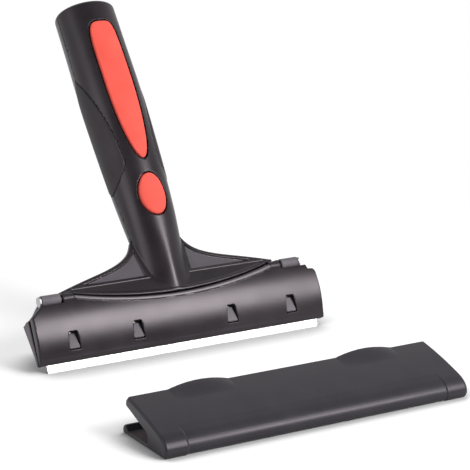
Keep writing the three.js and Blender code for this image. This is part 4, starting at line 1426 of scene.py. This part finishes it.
    def wings(self) -> Form:
        """Wings and apron with the panels sunk into their front.

        Returns:
            The solid in the head's axes.
        """
        head = self.head
        toe = head.wing_front - head.apron_flare
        section = Outline([
            (head.wing_back, head.rib_height + head.wing_rise), (head.wing_front, head.rib_height),
            (toe, head.apron_foot), (toe + head.apron_in_y, head.apron_foot - head.apron_in_z),
            (head.wing_front + head.apron_in_y, head.rib_height - head.apron_in_z),
            (head.wing_back, head.rib_height - head.apron_in_z)]).through_x(-FAR, FAR)
        edge = head.wing_edge(0)
        face = Outline([*edge, *head.apron_edge(0), *mirrored(edge)]).through_y(-FAR, FAR)
        rib = round_bar(Axis.X, head.rib_radius, -head.rib_half, head.rib_half,
                        (head.wing_front + head.rib_sink, head.rib_height), SOFT)
        shape = section.meet(face, self.wing_round).join(head.bead(section, face)).join(rib.meet(face), FINE)
        shape = shape.cut(self.panels(0), SOFT)
        for side in Side:
            ends = on_side(side, head.knuckle_inner - head.fit, head.knuckle_outer + head.fit)
            shape = shape.cut(round_bar(Axis.X, head.knuckle_radius + 2 * head.fit, *ends, head.hinge), FINE)
            for x, z in head.jaw_screws:
                hole = round_bar(Axis.Y, head.screw_hole, self.wing_screw_from, FAR, (side * x, z))
                shape = shape.cut(hole)
        return shape

    def casings(self) -> tuple[Form, Form]:
        """The two halves of the handle's moulding.

        Returns:
            Front and rear casing in the head's axes.
        """
        head, fit, bar = self.head, self.head.fit, self.bar.form()
        front_half = bar.meet(side_of(Axis.Y, -self.seam_gap / 2, -1)).seen_from(self.to_bar)
        rear_half = bar.meet(side_of(Axis.Y, self.seam_gap / 2, 1)).seen_from(self.to_bar)
        room = self.bar.form(fit).meet(side_of(Axis.Y, -fit / 2, 1)).seen_from(self.to_bar)
        foot = head.apron_edge(-self.keel_lift)
        above = Outline([(head.wing_half, FAR), *foot, (-head.wing_half, FAR)]).through_y(-FAR, FAR)
        hollow = self.hollow().seen_from(self.to_bar)
        floor = head.rib_height - head.apron_in_z + fit
        front = front_half.meet(above, self.keel_round).join(self.wings().cut(room), self.blend_radius)
        front = front.cut(hollow)
        rear = rear_half.meet(side_of(Axis.Z, floor, 1), SOFT).cut(hollow)
        for tool, edge in self.recesses():
            cut = tool.seen_from(self.to_bar)
            front, rear = front.cut(cut, edge), rear.cut(cut, edge)
        return front, rear

    def build(self, maker: Maker) -> None:
        """Makes the casings, the inlay and the pads.

        Args:
            maker: What turns solids into pieces.
        """
        place, bar_place, half = self.head.place(), self.place(), self.head.wing_half
        front, rear = self.casings()
        seam = tuple(form.seen_from(self.to_bar) for form in (
            self.bar.form(), block((-FAR, -self.step, 0), (FAR, self.step, FAR))))
        low, high = self.front_room
        # The sunk panels take the casing's lighter tone, partly as painted light.
        maker.piece("front_casing", Skin(front, (-half, *low), (half, *high), self.step, seam), place,
                    Body.HANDLE, Slot.BLACK_PLASTIC, CASING_BLACK, "handle_front_shell",
                    tone_and_painted_light=self.panels(self.tone_inset))
        maker.piece("rear_casing", Skin(rear, *self.rear_room, self.step, seam), place,
                    Body.HANDLE, Slot.BLACK_PLASTIC, CASING_BLACK, "handle_rear_shell")
        skin = self.bar.form(self.inlay_proud).cut(self.bar.form(-self.inlay_depth, FAR))
        inlay = Outline(self.inlay_outline()).through_y(-FAR, 0).meet(skin, FULL)
        maker.piece("red_inlay", Skin(inlay, *self.inlay_room, self.inlay_step), bar_place,
                    Body.HANDLE, Slot.INLAY_RUBBER, INLAY_RED, "grip_inlay")
        skin = self.bar.form(self.pad_proud).cut(self.bar.form(-self.pad_depth, FAR))
        leaf, (low, high) = Outline(self.pad_outline()), self.pad_room
        for side, name in ((Side.LEFT, "left"), (Side.RIGHT, "right")):
            pad = leaf.through_x(*on_side(side, self.pad_inner, FAR)).meet(skin, self.pad_round)
            inner, outer = on_side(side, self.pad_inner, self.pad_out)
            maker.piece(f"{name}_pad", Skin(pad, (inner, *low), (outer, *high), self.step), bar_place,
                        Body.HANDLE, Slot.PAD_RUBBER, PAD_BLACK, f"grip_pad_{name}")


@dataclass
class ReleaseButton:
    """The red button with its flange and the prong that drives the rod, in the handle's axes."""

    handle: Handle
    proud: float = 0.5
    back: float = -3.6
    flange: float = 1.2
    travel: float = 3.2
    prong_half: float = 2.6
    prong_end: float = 3.0
    prong_top: float = 52.0
    ramp_start: float = 45.0
    ramp_slope: float = 0.5
    spring: Coil = field(default_factory=lambda: Coil(8.3, 2.3, 0.7))
    cap_round: float = 0.9
    room: Room = ((-9.0, -16.0, 34.0), (9.0, 4.0, 60.0))
    step: float = 0.45

    def ramp(self, depth: float) -> float:
        """Height of the ramp's underside at a depth."""
        return self.ramp_start + self.ramp_slope * depth + self.handle.head.slide

    def build(self, maker: Maker) -> None:
        """Makes the button and the spring behind it.

        Args:
            maker: What turns solids into pieces.
        """
        handle, slide, place = self.handle, self.handle.head.slide, self.handle.place()
        to_back = side_of(Axis.Y, self.back, -1)
        cap = handle.button_oval(0).meet(handle.bar.form(self.proud), self.cap_round).meet(to_back, FINE)
        inner = handle.bar.form(-handle.wall - slide, FAR)
        rim = handle.button_oval(self.flange).meet(inner, FINE).meet(to_back, FINE)
        prong = block((-self.prong_half, self.back - LAP, self.ramp_start - handle.rod_half),
                      (self.prong_half, self.prong_end, self.prong_top), SOFT)
        floor = -handle.rod_half - self.travel - slide
        wide = handle.rod_half + slide
        slot = Outline([(floor, -FAR), (FAR, -FAR), (FAR, self.ramp(FAR)), (floor, self.ramp(floor))])
        shape = cap.join(rim, FINE).join(prong, FULL).cut(slot.through_x(-wide, wide), CRISP)
        maker.piece("red_button", Skin(shape, *self.room, self.step), place,
                    Body.BUTTON, Slot.BUTTON_PLASTIC, BUTTON_RED, "release_button")
        seat, length = handle.spring_seat - handle.head.fit, self.spring.length
        coil = maker.piece("button_coil", self.spring, place.moved(0, seat - length / 2, handle.spring_at),
                           Body.HANDLE, Slot.SPRING_WIRE, SPRING_WIRE, "button_spring")
        tuple(place.turned(np.array([[0, 1, 0]]))[0])
        place.point(0, seat, handle.spring_at)
        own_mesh(coil)


@dataclass
class Jaws:
    """Front and rear jaw, in the head's axes."""

    head: Head
    handle: Handle
    crest_radius: float = 37.2
    crest_height: float = 18.9
    crest_depth: float = 4.8
    rear_corner: tuple[Pair, ...] = ((0, 24.8), (5.5, 28.6), (12.2, 35.8))
    right_corner: tuple[Pair, ...] = ((0, 27.8), (0.7, 29.2), (1.6, 29.6), (3.7, 29.7), (4.2, 32.1))
    end_wall: float = 2.4
    end_gap: Pair = (-0.5, 1.9)
    end_top: Pair = (4.6, 26.3)
    slot_from: float = 65.0
    spring_radius: float = 2.0
    spring_wire: float = 0.6
    peg_sink: float = 0.1
    peg_ramp: float = 1.3
    peg_foot_gap: float = 0.45
    peg_top_gap: float = 0.8
    bed_width: float = 9.0
    bed_inset: float = 0.8
    barrel_web: float = 3.2
    web_length: float = 5.0
    web_inner: float = 54.0
    web_front: float = 5.0
    tail_width: float = 8.0
    tail_height: float = 32.0
    tail_arm: float = 3.0
    tail_arm_top: float = 24.5
    tail_front: float = 3.2
    tail_back: float = 7.4
    edge: float = 0.7
    step: float = 0.55
    window_corner: float = 0.35
    stud_sink: float = 1.2
    tip_share: float = 0.7
    ledge_inset: float = 1.1
    ledge_rise: float = 0.6
    tail_toe: Pair = (1.0, 2.0)
    shade_from: Pair = (2.0, 28.0)
    shade_lap: float = 0.5
    slot_inset: float = 0.3
    front_room: Section = ((-5.0, 3.5), (8.0, 38.0))
    rear_room: Section = ((-5.0, 3.5), (14.0, 62.0))

    def crest(self, height: float, radius: float) -> float:
        """Depth of the front jaw's curve at a height."""
        centre = self.crest_radius - self.crest_depth
        return centre - (radius ** 2 - (height - self.crest_height) ** 2) ** 0.5

    def curve(self, radius: float) -> Form:
        """Round bar along x with the front jaw's curve."""
        centre = (self.crest_radius - self.crest_depth, self.crest_height)
        return round_bar(Axis.X, radius, -FAR, FAR, centre)

    def face(self) -> Form:
        """Outline of the front jaw seen from the front.

        Returns:
            The outline, pushed through from front to back.
        """
        head = self.head
        left = np.array([(head.jaw_half, head.blade_reach), (head.jaw_half, head.corner_height),
                         (head.chamfer_x, head.shoulder), (head.knuckle_outer, head.shoulder)])
        corner = [(head.jaw_half - inset, z) for inset, z in self.right_corner]
        right = [(head.jaw_half, head.blade_reach), *corner, (head.knuckle_outer, head.shoulder)]
        top = head.apron_edge(head.seam, head.knuckle_outer)
        return Outline([*right, *top, *mirrored(left)]).through_y(-FAR, FAR)

    def front_plate(self) -> Form:
        """The front jaw's curved plate with its lip, end walls and bead.

        Returns:
            The solid in the head's axes.
        """
        head, face, outer = self.head, self.face(), self.curve(self.crest_radius)
        seat, middle = -head.seat_back, -self.crest_depth / 2
        plate = outer.cut(self.curve(self.crest_radius - head.jaw_wall))
        lip = Outline([(seat, head.blade_reach), (seat, head.splay_start),
                       (middle, head.splay_start), (middle, head.blade_reach)]).through_x(-FAR, FAR)
        lip_top = head.splay_start + head.lip_height
        clear = block((-FAR, seat, -FAR), (FAR, FAR, lip_top))
        end = Outline([(-FAR, -FAR), (-FAR, FAR), (self.end_gap[0], FAR), (self.end_gap[0], head.shoulder),
                       (seat, lip_top), (seat, -FAR)]).through_x(-FAR, FAR).meet(outer)
        ends = end.cut(slab(Axis.X, self.end_wall - head.jaw_half, head.jaw_half - self.end_wall))
        shape = plate.join(lip.meet(outer), BROAD).join(ends).cut(clear).meet(face, self.edge)
        return shape.join(head.bead(outer, face))

    def front(self) -> Form:
        """The front jaw: its plate with four windows, the knuckles, the springs' studs and the tail.

        Returns:
            The solid in the head's axes.
        """
        head, shape = self.head, self.front_plate()
        for x in head.windows:
            window = head.window(x, 0, head.window_low, head.window_high, self.window_corner)
            shape = shape.cut(window, EASED)
        back = self.crest(head.spring_height, self.crest_radius - head.jaw_wall)
        for side in Side:
            low, high = on_side(side, head.knuckle_inner, head.knuckle_outer)
            beside = on_side(side, head.knuckle_outer, head.jaw_half + LAP)
            hole = round_bar(Axis.X, head.pin_radius + head.fit, low - LAP, high + LAP, head.hinge)
            stud = round_bar(Axis.Y, head.stud_radius, back - self.stud_sink, back + head.stud_length,
                             (side * head.spring_x, head.spring_height), FINE)
            shape = shape.cut(round_bar(Axis.X, head.barrel_radius + head.slide, *beside, head.hinge), CRISP)
            shape = shape.join(round_bar(Axis.X, head.knuckle_radius, low, high, head.hinge, SOFT), FULL)
            shape = shape.cut(hole).join(stud, FINE)
        low, toe = self.tail_arm_top - self.tail_arm, self.tail_toe
        tail = Outline([(-self.tail_front, low), (self.tail_front, low),
                        (self.tail_back - toe[0], self.tail_arm_top + toe[1]),
                        (self.tail_back, self.tail_height), (self.tail_front, self.tail_height),
                        (self.tail_front, self.tail_arm_top), (-self.tail_front, self.tail_arm_top)])
        return shape.join(tail.through_x(-self.tail_width / 2, self.tail_width / 2, FINE), SOFT)

    def rear_plate(self, web_top: float) -> Form:
        """The rear jaw's splayed plate and its flange, cut out round the neck.

        Args:
            web_top: Height of its upper edge beside the hinge barrels.

        Returns:
            The solid in the head's axes.
        """
        head = self.head
        across = head.jaw_wall / cos(radians(head.rear_splay))
        section = Outline([
            (head.seat_back, head.blade_reach), (head.seat_back, head.splay_start),
            (head.flange_front, head.splay_end), (head.flange_front, FAR), (head.flange_back, FAR),
            (head.flange_back, head.splay_end - (across - head.jaw_wall) / head.splay_slope),
            (head.seat_back + across, head.splay_start),
            (head.seat_back + head.jaw_wall * self.tip_share, head.blade_reach)])
        rise = head.wing_edge(head.wing_tip_thickness)
        corner = [(head.jaw_half - inset, z) for inset, z in self.rear_corner]
        end = np.array([(head.jaw_half, head.blade_reach), *corner, (head.barrel_inner, web_top)])
        face = Outline([*end, *rise[::-1], *mirrored(rise)[::-1], *mirrored(end)])
        neck = self.handle.bar.form(head.fit).seen_from(self.handle.to_bar).meet(
            side_of(Axis.Z, head.rib_height - head.rib_band - head.fit, 1))
        return section.through_x(-FAR, FAR).meet(face.through_y(-FAR, FAR), self.edge).cut(neck, FINE)

    def with_pegs(self, shape: Form) -> Form:
        """Adds the ramp pegs and the beds that they stand on.

        Args:
            shape: The rear jaw so far.

        Returns:
            The rear jaw with its pegs.
        """
        head = self.head
        low, high = head.window_low + self.peg_foot_gap, head.window_high - self.peg_top_gap
        crest = self.crest(low, self.crest_radius) + self.peg_sink
        foot, top = head.splay_start - LAP, head.blade_height + self.bed_inset
        bed = Outline([(head.seat_back, foot), (head.seat_back, top), (head.rear_face(top) + LAP, top),
                       (head.rear_face(head.splay_start) + LAP, foot)])
        peg = Outline([(head.seat_back + LAP, low), (head.seat_back + LAP, high),
                       (crest + self.peg_ramp, high), (crest, low)])
        for x in head.windows:
            shape = shape.join(bed.through_x(x - self.bed_width / 2, x + self.bed_width / 2, FINE), SOFT)
            shape = shape.join(peg.through_x(x - head.window_foot, x + head.window_foot).meet(
                head.window(x, head.slide / 2, low - LAP, high + LAP, TIGHT), EASED), FINE)
        return shape

    def with_end(self, shape: Form, side: Side, web_top: float) -> Form:
        """Adds the end wall, the hinge barrel with its webs, and the spring's stud, and bores the holes.

        Args:
            shape: The rear jaw so far.
            side: Which end it is.
            web_top: Height of the webs' upper face.

        Returns:
            The rear jaw with that end.
        """
        head, web_foot = self.head, web_top - self.barrel_web
        corner = self.rear_corner[0][1]
        wall = Outline([(head.seat_back, head.blade_reach), (head.seat_back, head.splay_start),
                        (self.end_gap[1], self.end_top[1]), self.end_top,
                        (head.rear_face(corner) + LAP, corner),
                        (head.rear_face(head.splay_start) + LAP, head.splay_start),
                        (head.seat_back + LAP, head.blade_reach)])
        back = head.rear_face(web_foot) + LAP
        low, high = on_side(side, self.web_inner, head.barrel_inner + LAP)
        shape = shape.join(block((low, self.web_front, web_foot), (high, back, web_top), SOFT), FINE)
        low, high = on_side(side, self.web_inner + self.ledge_inset, head.barrel_inner + LAP)
        ledge = block((low, self.web_front, web_top - LAP), (high, back, web_top + self.ledge_rise), FINE)
        shape = shape.join(ledge, FINE)
        shape = shape.join(wall.through_x(
            *on_side(side, head.jaw_half, head.jaw_half - self.end_wall), FULL), FINE)
        low, high = on_side(side, head.barrel_inner, head.barrel_inner + self.web_length)
        web = block((low, head.hinge[0] + head.pin_radius, web_foot), (high, back, web_top), SOFT)
        low, high = on_side(side, head.barrel_inner, head.barrel_outer)
        barrel = round_bar(Axis.X, head.barrel_radius, low, high, head.hinge, SOFT)
        hole = round_bar(Axis.X, head.pin_radius + head.fit, low - LAP, high + LAP, head.hinge)
        face = head.rear_face(head.spring_height)
        stud = round_bar(Axis.Y, head.stud_radius, face - head.stud_length, face + LAP,
                         (side * head.spring_x, head.spring_height), FINE)
        shape = shape.join(barrel.join(web, BROAD), SOFT).cut(hole).join(stud, FINE)
        for x, z in head.jaw_screws:
            shape = shape.cut(round_bar(Axis.Y, head.screw_hole, head.wing_back, FAR, (side * x, z)), CRISP)
        return shape

    def rear(self) -> Form:
        """The rear jaw: a splayed plate with its flange, the ramp pegs and the hinge barrels.

        Returns:
            The solid in the head's axes.
        """
        web_top = self.head.hinge[1] + self.barrel_web / 2
        shape = self.with_pegs(self.rear_plate(web_top))
        for side in Side:
            shape = self.with_end(shape, side, web_top)
        return shape

    def shade(self) -> Form:
        """Where the rear jaw takes a painted shade: under the wings, and inside the slots at its ends.

        Returns:
            The room in the head's axes.
        """
        head, top = self.head, self.end_top[1] + self.shade_lap
        front, foot = self.shade_from
        under = block((-head.knuckle_outer, front, foot), (head.knuckle_outer, FAR, FAR))
        low, high = head.seat_back + self.shade_lap, self.end_gap[1] + self.shade_lap
        slot = Outline([(-FAR, head.blade_reach), (-FAR, top), (high, top),
                        (low, head.splay_start), (low, head.blade_reach)])
        ends = slot.through_x(self.slot_inset - head.jaw_half, head.jaw_half - self.slot_inset)
        return under.join(ends.cut(slab(Axis.X, -self.slot_from, self.slot_from)))

    def springs(self, maker: Maker) -> None:
        """Makes the two springs between the jaws.

        Args:
            maker: What turns solids into pieces.
        """
        head, place, z = self.head, self.head.place(), self.head.spring_height
        low = z - self.spring_radius
        front = self.crest(low, self.crest_radius - head.jaw_wall) + 2 * head.fit
        back = head.rear_face(low) - 2 * head.fit
        for name, x in (("left", -head.spring_x), ("right", head.spring_x)):
            far = Stretch(Body.JAW, place.point(x, back, z), place.point(x, front, z))
            maker.piece(f"{name}_jaw_coil", Coil(back - front, self.spring_radius, self.spring_wire),
                        place.moved(x, (front + back) / 2, z), Body.HANDLE, Slot.SPRING_WIRE, SPRING_WIRE,
                        f"jaw_spring_{name}", stretch=far)

    def build(self, maker: Maker) -> None:
        """Makes both jaws and their springs.

        Args:
            maker: What turns solids into pieces.
        """
        self.springs(maker)
        half, place = self.head.jaw_half, self.head.place()
        low, high = self.front_room
        # The bead's crest takes the jaw's pale tone as a painted highlight.
        maker.piece("front_jaw_plate", Skin(self.front(), (-half, *low), (half, *high), self.step), place,
                    Body.JAW, Slot.BLACK_PLASTIC, JAW_BLACK, "front_jaw",
                    tone_and_painted_light=self.head.crest(self.curve(self.crest_radius), self.face()))
        low, high = self.rear_room
        # The rear jaw is painted dark where shade falls, under the wings and in its end slots.
        maker.piece("rear_jaw_plate", Skin(self.rear(), (-half, *low), (half, *high), self.step), place,
                    Body.HANDLE, Slot.BLACK_PLASTIC, REAR_JAW_GREY, "rear_jaw", tone_and_painted_light=self.shade())


@dataclass
class BladeGuard:
    """The guard, in its own axes: x along it, y from its nose to its back, z up from the table."""

    length: float = 155.0
    base_depth: float = 38.0
    top_depth: float = 33.1
    height: float = 17.6
    nose: tuple[Pair, ...] = ((5.0, 9.7), (0.2, 7.9), (-3.3, 3.4), (0.6, 0.0))
    crown: float = 0.57
    top_wall: float = 4.6
    floor: float = 1.6
    lip_height: float = 3.9
    lip_depth: float = 2.4
    back_bevel: float = 2.0
    pocket: float = 15.7
    pocket_height: float = 6.7
    slot: Triple = (2.0, 6.0, 1.6)
    bump_centre: float = 43.0
    bump_half: float = 15.0
    bump_height: float = 2.1
    bump_depth: float = 10.0
    end_round: float = 1.3
    nose_step: float = 0.35
    nose_step_at: float = 66.5
    nose_step_fade: Triple = (0.5, 8.0, 6.0)
    bump_back: float = 0.25
    bump_rise: float = 3.0
    corner: float = 1.0
    lip_slope: float = 2.0
    nose_reach: float = 1.5
    nose_runs: int = 18
    top_points: int = 12
    step: float = 0.65

    def place(self) -> Place:
        """The guard's axes, found from its CAD solid."""
        low, high = (np.array(corner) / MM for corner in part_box("blade_guard"))
        return Place(((low[0] + high[0]) / 2, high[1] - self.base_depth, low[2]))

    def top(self, depth: Values) -> Values:
        """Height of the crowned upper face.

        Args:
            depth: Depths from the nose.

        Returns:
            The height at each depth.
        """
        start, low = self.nose[0]
        share = (depth - start) / (self.top_depth - start)
        return low + (self.height - low) * share + 4 * self.crown * share * (1 - share)

    def profile(self) -> np.ndarray:
        """Outline of the section.

        Returns:
            Points in y and z.
        """
        nose = bezier(self.nose, self.nose_runs)
        depth = np.linspace(self.top_depth, self.nose[0][0], self.top_points)[:-1]
        slope = np.stack([depth, self.top(depth)], axis=1)
        start, back, cut = self.base_depth - self.lip_depth, self.top_depth + self.back_bevel, self.corner
        inner = [(self.base_depth, 0), (self.base_depth, self.lip_height - cut),
                 (self.base_depth - cut, self.lip_height), (start, self.lip_height),
                 (start - self.lip_slope, self.floor), (self.pocket + cut, self.floor),
                 (self.pocket, self.floor + cut), (self.pocket, self.pocket_height - cut),
                 (self.pocket + cut, self.pocket_height), (back, self.height - self.top_wall),
                 (back, self.height - self.back_bevel)]
        return np.concatenate([slope, nose, np.array(inner)])

    def lift(self, p: Points) -> Values:
        """Height of the finger bumps on the upper face.

        Args:
            p: Points in the guard's axes.

        Returns:
            The height at each point.
        """
        forward = np.clip((self.top_depth - p[:, 1]) / self.bump_depth, -self.bump_back, 1)
        fade = np.cos(np.pi / 2 * np.maximum(forward, 0)) ** 2
        across = np.minimum(np.abs(np.abs(p[:, 0]) - self.bump_centre) / self.bump_half, 1)
        over = np.clip((p[:, 2] - self.height + self.top_wall) / self.bump_rise, 0, 1)
        return self.bump_height * (1 - across ** 2) * fade * over

    def form(self) -> Form:
        """The guard with its finger bumps and the stepped nose.

        Returns:
            The solid in the guard's axes.
        """
        section, half = Outline(self.profile()), self.length / 2
        beside, behind, soft = self.nose_step_fade

        def reach(p: Points) -> Values:
            """Distance to the section, lifted at the bumps and set back along the middle of the nose.

            Args:
                p: Points in the guard's axes.

            Returns:
                One distance for each point.
            """
            low = p.copy()
            low[:, 2] -= self.lift(p)
            inset = (np.clip((self.nose_step_at - np.abs(p[:, 0])) / beside, 0, 1)
                     * np.clip((behind - p[:, 1]) / soft, 0, 1))
            return rounded_meet(section.reach(low[:, 1], low[:, 2]) + self.nose_step * inset,
                                np.abs(p[:, 0]) - half, self.end_round)

        end, deep, high = self.slot
        middle = (self.floor + self.pocket_height) / 2
        slot = block((-half + end, self.pocket - deep, middle - high / 2),
                     (half - end, self.pocket + LAP, middle + high / 2))
        return Form(reach).cut(slot, CRISP)

    def build(self, maker: Maker) -> None:
        """Makes the guard.

        Args:
            maker: What turns solids into pieces.
        """
        half = self.length / 2
        top = (half, self.base_depth, self.height + self.bump_height)
        maker.piece("guard_channel", Skin(self.form(), (-half, -self.nose_reach, 0), top, self.step),
                    self.place(), Body.GUARD, Slot.BLACK_PLASTIC, GUARD_BLACK, "blade_guard")


@dataclass
class Hardware:
    """Small parts that keep their CAD solids."""

    screws: int = 4

    def build(self, maker: Maker) -> None:
        """Dresses the blade, pins, screws and rod.

        Args:
            maker: What dresses CAD nodes.
        """
        maker.dress(BLADE_STEEL, "blade")
        maker.dress(ZINC_STEEL, "hinge_pin_left", "hinge_pin_right", "handle_screw_1", "handle_screw_2",
                    *(f"jaw_screw_{k + 1}" for k in range(self.screws)))
        maker.dress(NYLON, "push_rod")


@dataclass(frozen=True)
class Lamp:
    """A round soft lamp: its power in watts, its width and its place in metres."""

    title: str
    watts: float
    size: float
    spot: Triple


@dataclass
class Studio:
    """Floor, world, lamps and camera."""

    head: Head
    camera_from_head: Triple = (-419.52, -759.88, 280.185)
    azimuth: float = 30.41
    elevation: float = 14.39
    focal_px: float = 1863.88
    image_px: float = 470.0
    sensor_mm: float = 36.0
    clip: Pair = (0.05, 20.0)
    world_dark: float = 0.1
    world_bright: float = 0.76
    world_towards: Triple = (0.0, 0.85, -0.5)
    world_fade: Pair = (-0.95, 0.1)
    floor_half: float = 3.0
    floor_tone: float = 0.58
    floor_glow: float = 0.52
    floor_cloud_mm: float = 60.0
    floor_cloud: Pair = (0.99, 1.0)
    floor_fade: Pair = (0.2, 0.42)
    # Reach, fade and samples of the painted contact shadow on the table.
    painted_shadow_reach: float = 0.025
    painted_shadow_fade: Pair = (0.6, 0.99)
    painted_shadow_samples: int = 12
    key: Lamp = Lamp("key_lamp", 14.0, 0.6, (0.47, -0.85, 0.63))
    fill: Lamp = Lamp("fill_lamp", 2.6, 0.7, (-1.0, -0.12, 0.42))
    lamps_aim: Triple = (0.0, 0.0, 0.04)

    def build(self) -> None:
        """Makes the stage."""
        self.world()
        self.floor()
        for lamp in (self.key, self.fill):
            self.hang(lamp)
        self.camera()

    def world(self) -> None:
        """Bright wall low down behind, dark room in front and above, and white to the camera."""
        world = bpy.data.worlds.new("studio_world")
        bpy.context.scene.world = world
        recipe = Recipe(world)
        way = recipe.node("ShaderNodeVectorMath", {"operation": "DOT_PRODUCT"}, {
            0: recipe.node("ShaderNodeTexCoord", out="Generated"), 1: self.world_towards}, out="Value")
        strength = way.ramp(*self.world_fade, self.world_dark, self.world_bright)
        light = recipe.node("ShaderNodeBackground", {}, {"Color": (1, 1, 1, 1), "Strength": strength})
        white = recipe.node("ShaderNodeBackground", {}, {"Color": (1, 1, 1, 1), "Strength": 1.0})
        to_camera = recipe.path("Is Camera Ray")
        recipe.close(recipe.node("ShaderNodeMixShader", {}, {0: to_camera, 1: light, 2: white}))

    def floor(self) -> None:
        """White table that keeps the shadow and runs into the white background."""
        half = self.floor_half
        mesh = bpy.data.meshes.new("table")
        corners = [(-half, -half, 0), (half, -half, 0), (half, half, 0), (-half, half, 0)]
        mesh.from_pydata(corners, [], [(0, 1, 2, 3)])
        table = bpy.data.objects.new("table", mesh)
        bpy.context.collection.objects.link(table)
        material = bpy.data.materials.new("table_white")
        mesh.materials.append(material)
        self.whiten(Recipe(material))

    def whiten(self, recipe: Recipe) -> None:
        """Writes the table's nodes: a lit white with a glow that a painted contact shadow dims near the
        pieces, plain white far off.

        Args:
            recipe: The material's nodes.
        """
        tone = recipe.noise(self.floor_cloud_mm).ramp(*NOISE_SPAN, *self.floor_cloud)
        colour = recipe.blend(tone, (0, 0, 0), (self.floor_tone,) * 3)
        lit = recipe.node("ShaderNodeBsdfDiffuse", {}, {"Color": colour})
        # Ambient occlusion dims the camera's glow near the pieces: a painted contact shadow.
        open_sky = recipe.node("ShaderNodeAmbientOcclusion", {"samples": self.painted_shadow_samples},
                               {"Distance": self.painted_shadow_reach}, out="AO")
        seen = recipe.path("Is Camera Ray").most(recipe.path("Is Transmission Ray"))
        seen = seen.most(recipe.path("Is Glossy Ray")) * open_sky.ramp(*self.painted_shadow_fade)
        glow = recipe.node("ShaderNodeEmission", {}, {
            "Color": recipe.blend(seen, (0, 0, 0), (self.floor_glow,) * 3), "Strength": 1.0})
        near = recipe.node("ShaderNodeAddShader", {}, {0: lit, 1: glow})
        away = recipe.node("ShaderNodeVectorMath", {"operation": "LENGTH"},
                           {0: recipe.coordinates()}, out="Value")
        plain = recipe.node("ShaderNodeEmission", {}, {"Color": (1, 1, 1, 1), "Strength": 1.0})
        share = away.ramp(*self.floor_fade)
        recipe.close(recipe.node("ShaderNodeMixShader", {}, {0: share, 1: near, 2: plain}))

    def hang(self, lamp: Lamp) -> None:
        """Hangs a lamp: the strong key in front on the right, or the weak fill on the left.

        Args:
            lamp: The lamp.
        """
        light = bpy.data.lights.new(lamp.title, "AREA")
        light.shape, light.size, light.energy = "DISK", lamp.size, lamp.watts
        made = bpy.data.objects.new(lamp.title, light)
        made.location = lamp.spot
        way = Vector(self.lamps_aim) - Vector(lamp.spot)
        made.rotation_euler = way.to_track_quat("-Z", "Y").to_euler()
        bpy.context.collection.objects.link(made)

    def camera(self) -> None:
        """Camera at the photograph's viewing angle."""
        a, e = radians(self.azimuth), radians(self.elevation)
        forward = Vector((sin(a) * cos(e), cos(a) * cos(e), -sin(e)))
        right = Vector((cos(a), -sin(a), 0))
        turn = Matrix((right, right.cross(forward), -forward)).transposed().to_4x4()
        data = bpy.data.cameras.new("camera")
        data.sensor_fit, data.sensor_width = "HORIZONTAL", self.sensor_mm
        data.lens = self.focal_px * self.sensor_mm / self.image_px
        data.clip_start, data.clip_end = self.clip
        made = bpy.data.objects.new("camera", data)
        spot = np.array(self.head.place().origin) + np.array(self.camera_from_head)
        made.matrix_world = Matrix.Translation(Vector(spot) * MM) @ turn
        bpy.context.collection.objects.link(made)
        bpy.context.scene.camera = made


def main() -> None:
    """Builds the studio and every sub-assembly in order."""
    logging.basicConfig(level=logging.INFO, format="%(message)s")
    bpy.context.scene.view_settings.view_transform = "Standard"
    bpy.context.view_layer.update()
    maker = Maker()
    head = Head()
    Studio(head).build()
    handle = Handle(head)
    handle.build(maker)
    ReleaseButton(handle).build(maker)
    Jaws(head, handle).build(maker)
    BladeGuard().build(maker)
    Hardware().build(maker)
    log.info("%d pieces", len(maker.made))


if __name__ == "__main__":
    main()
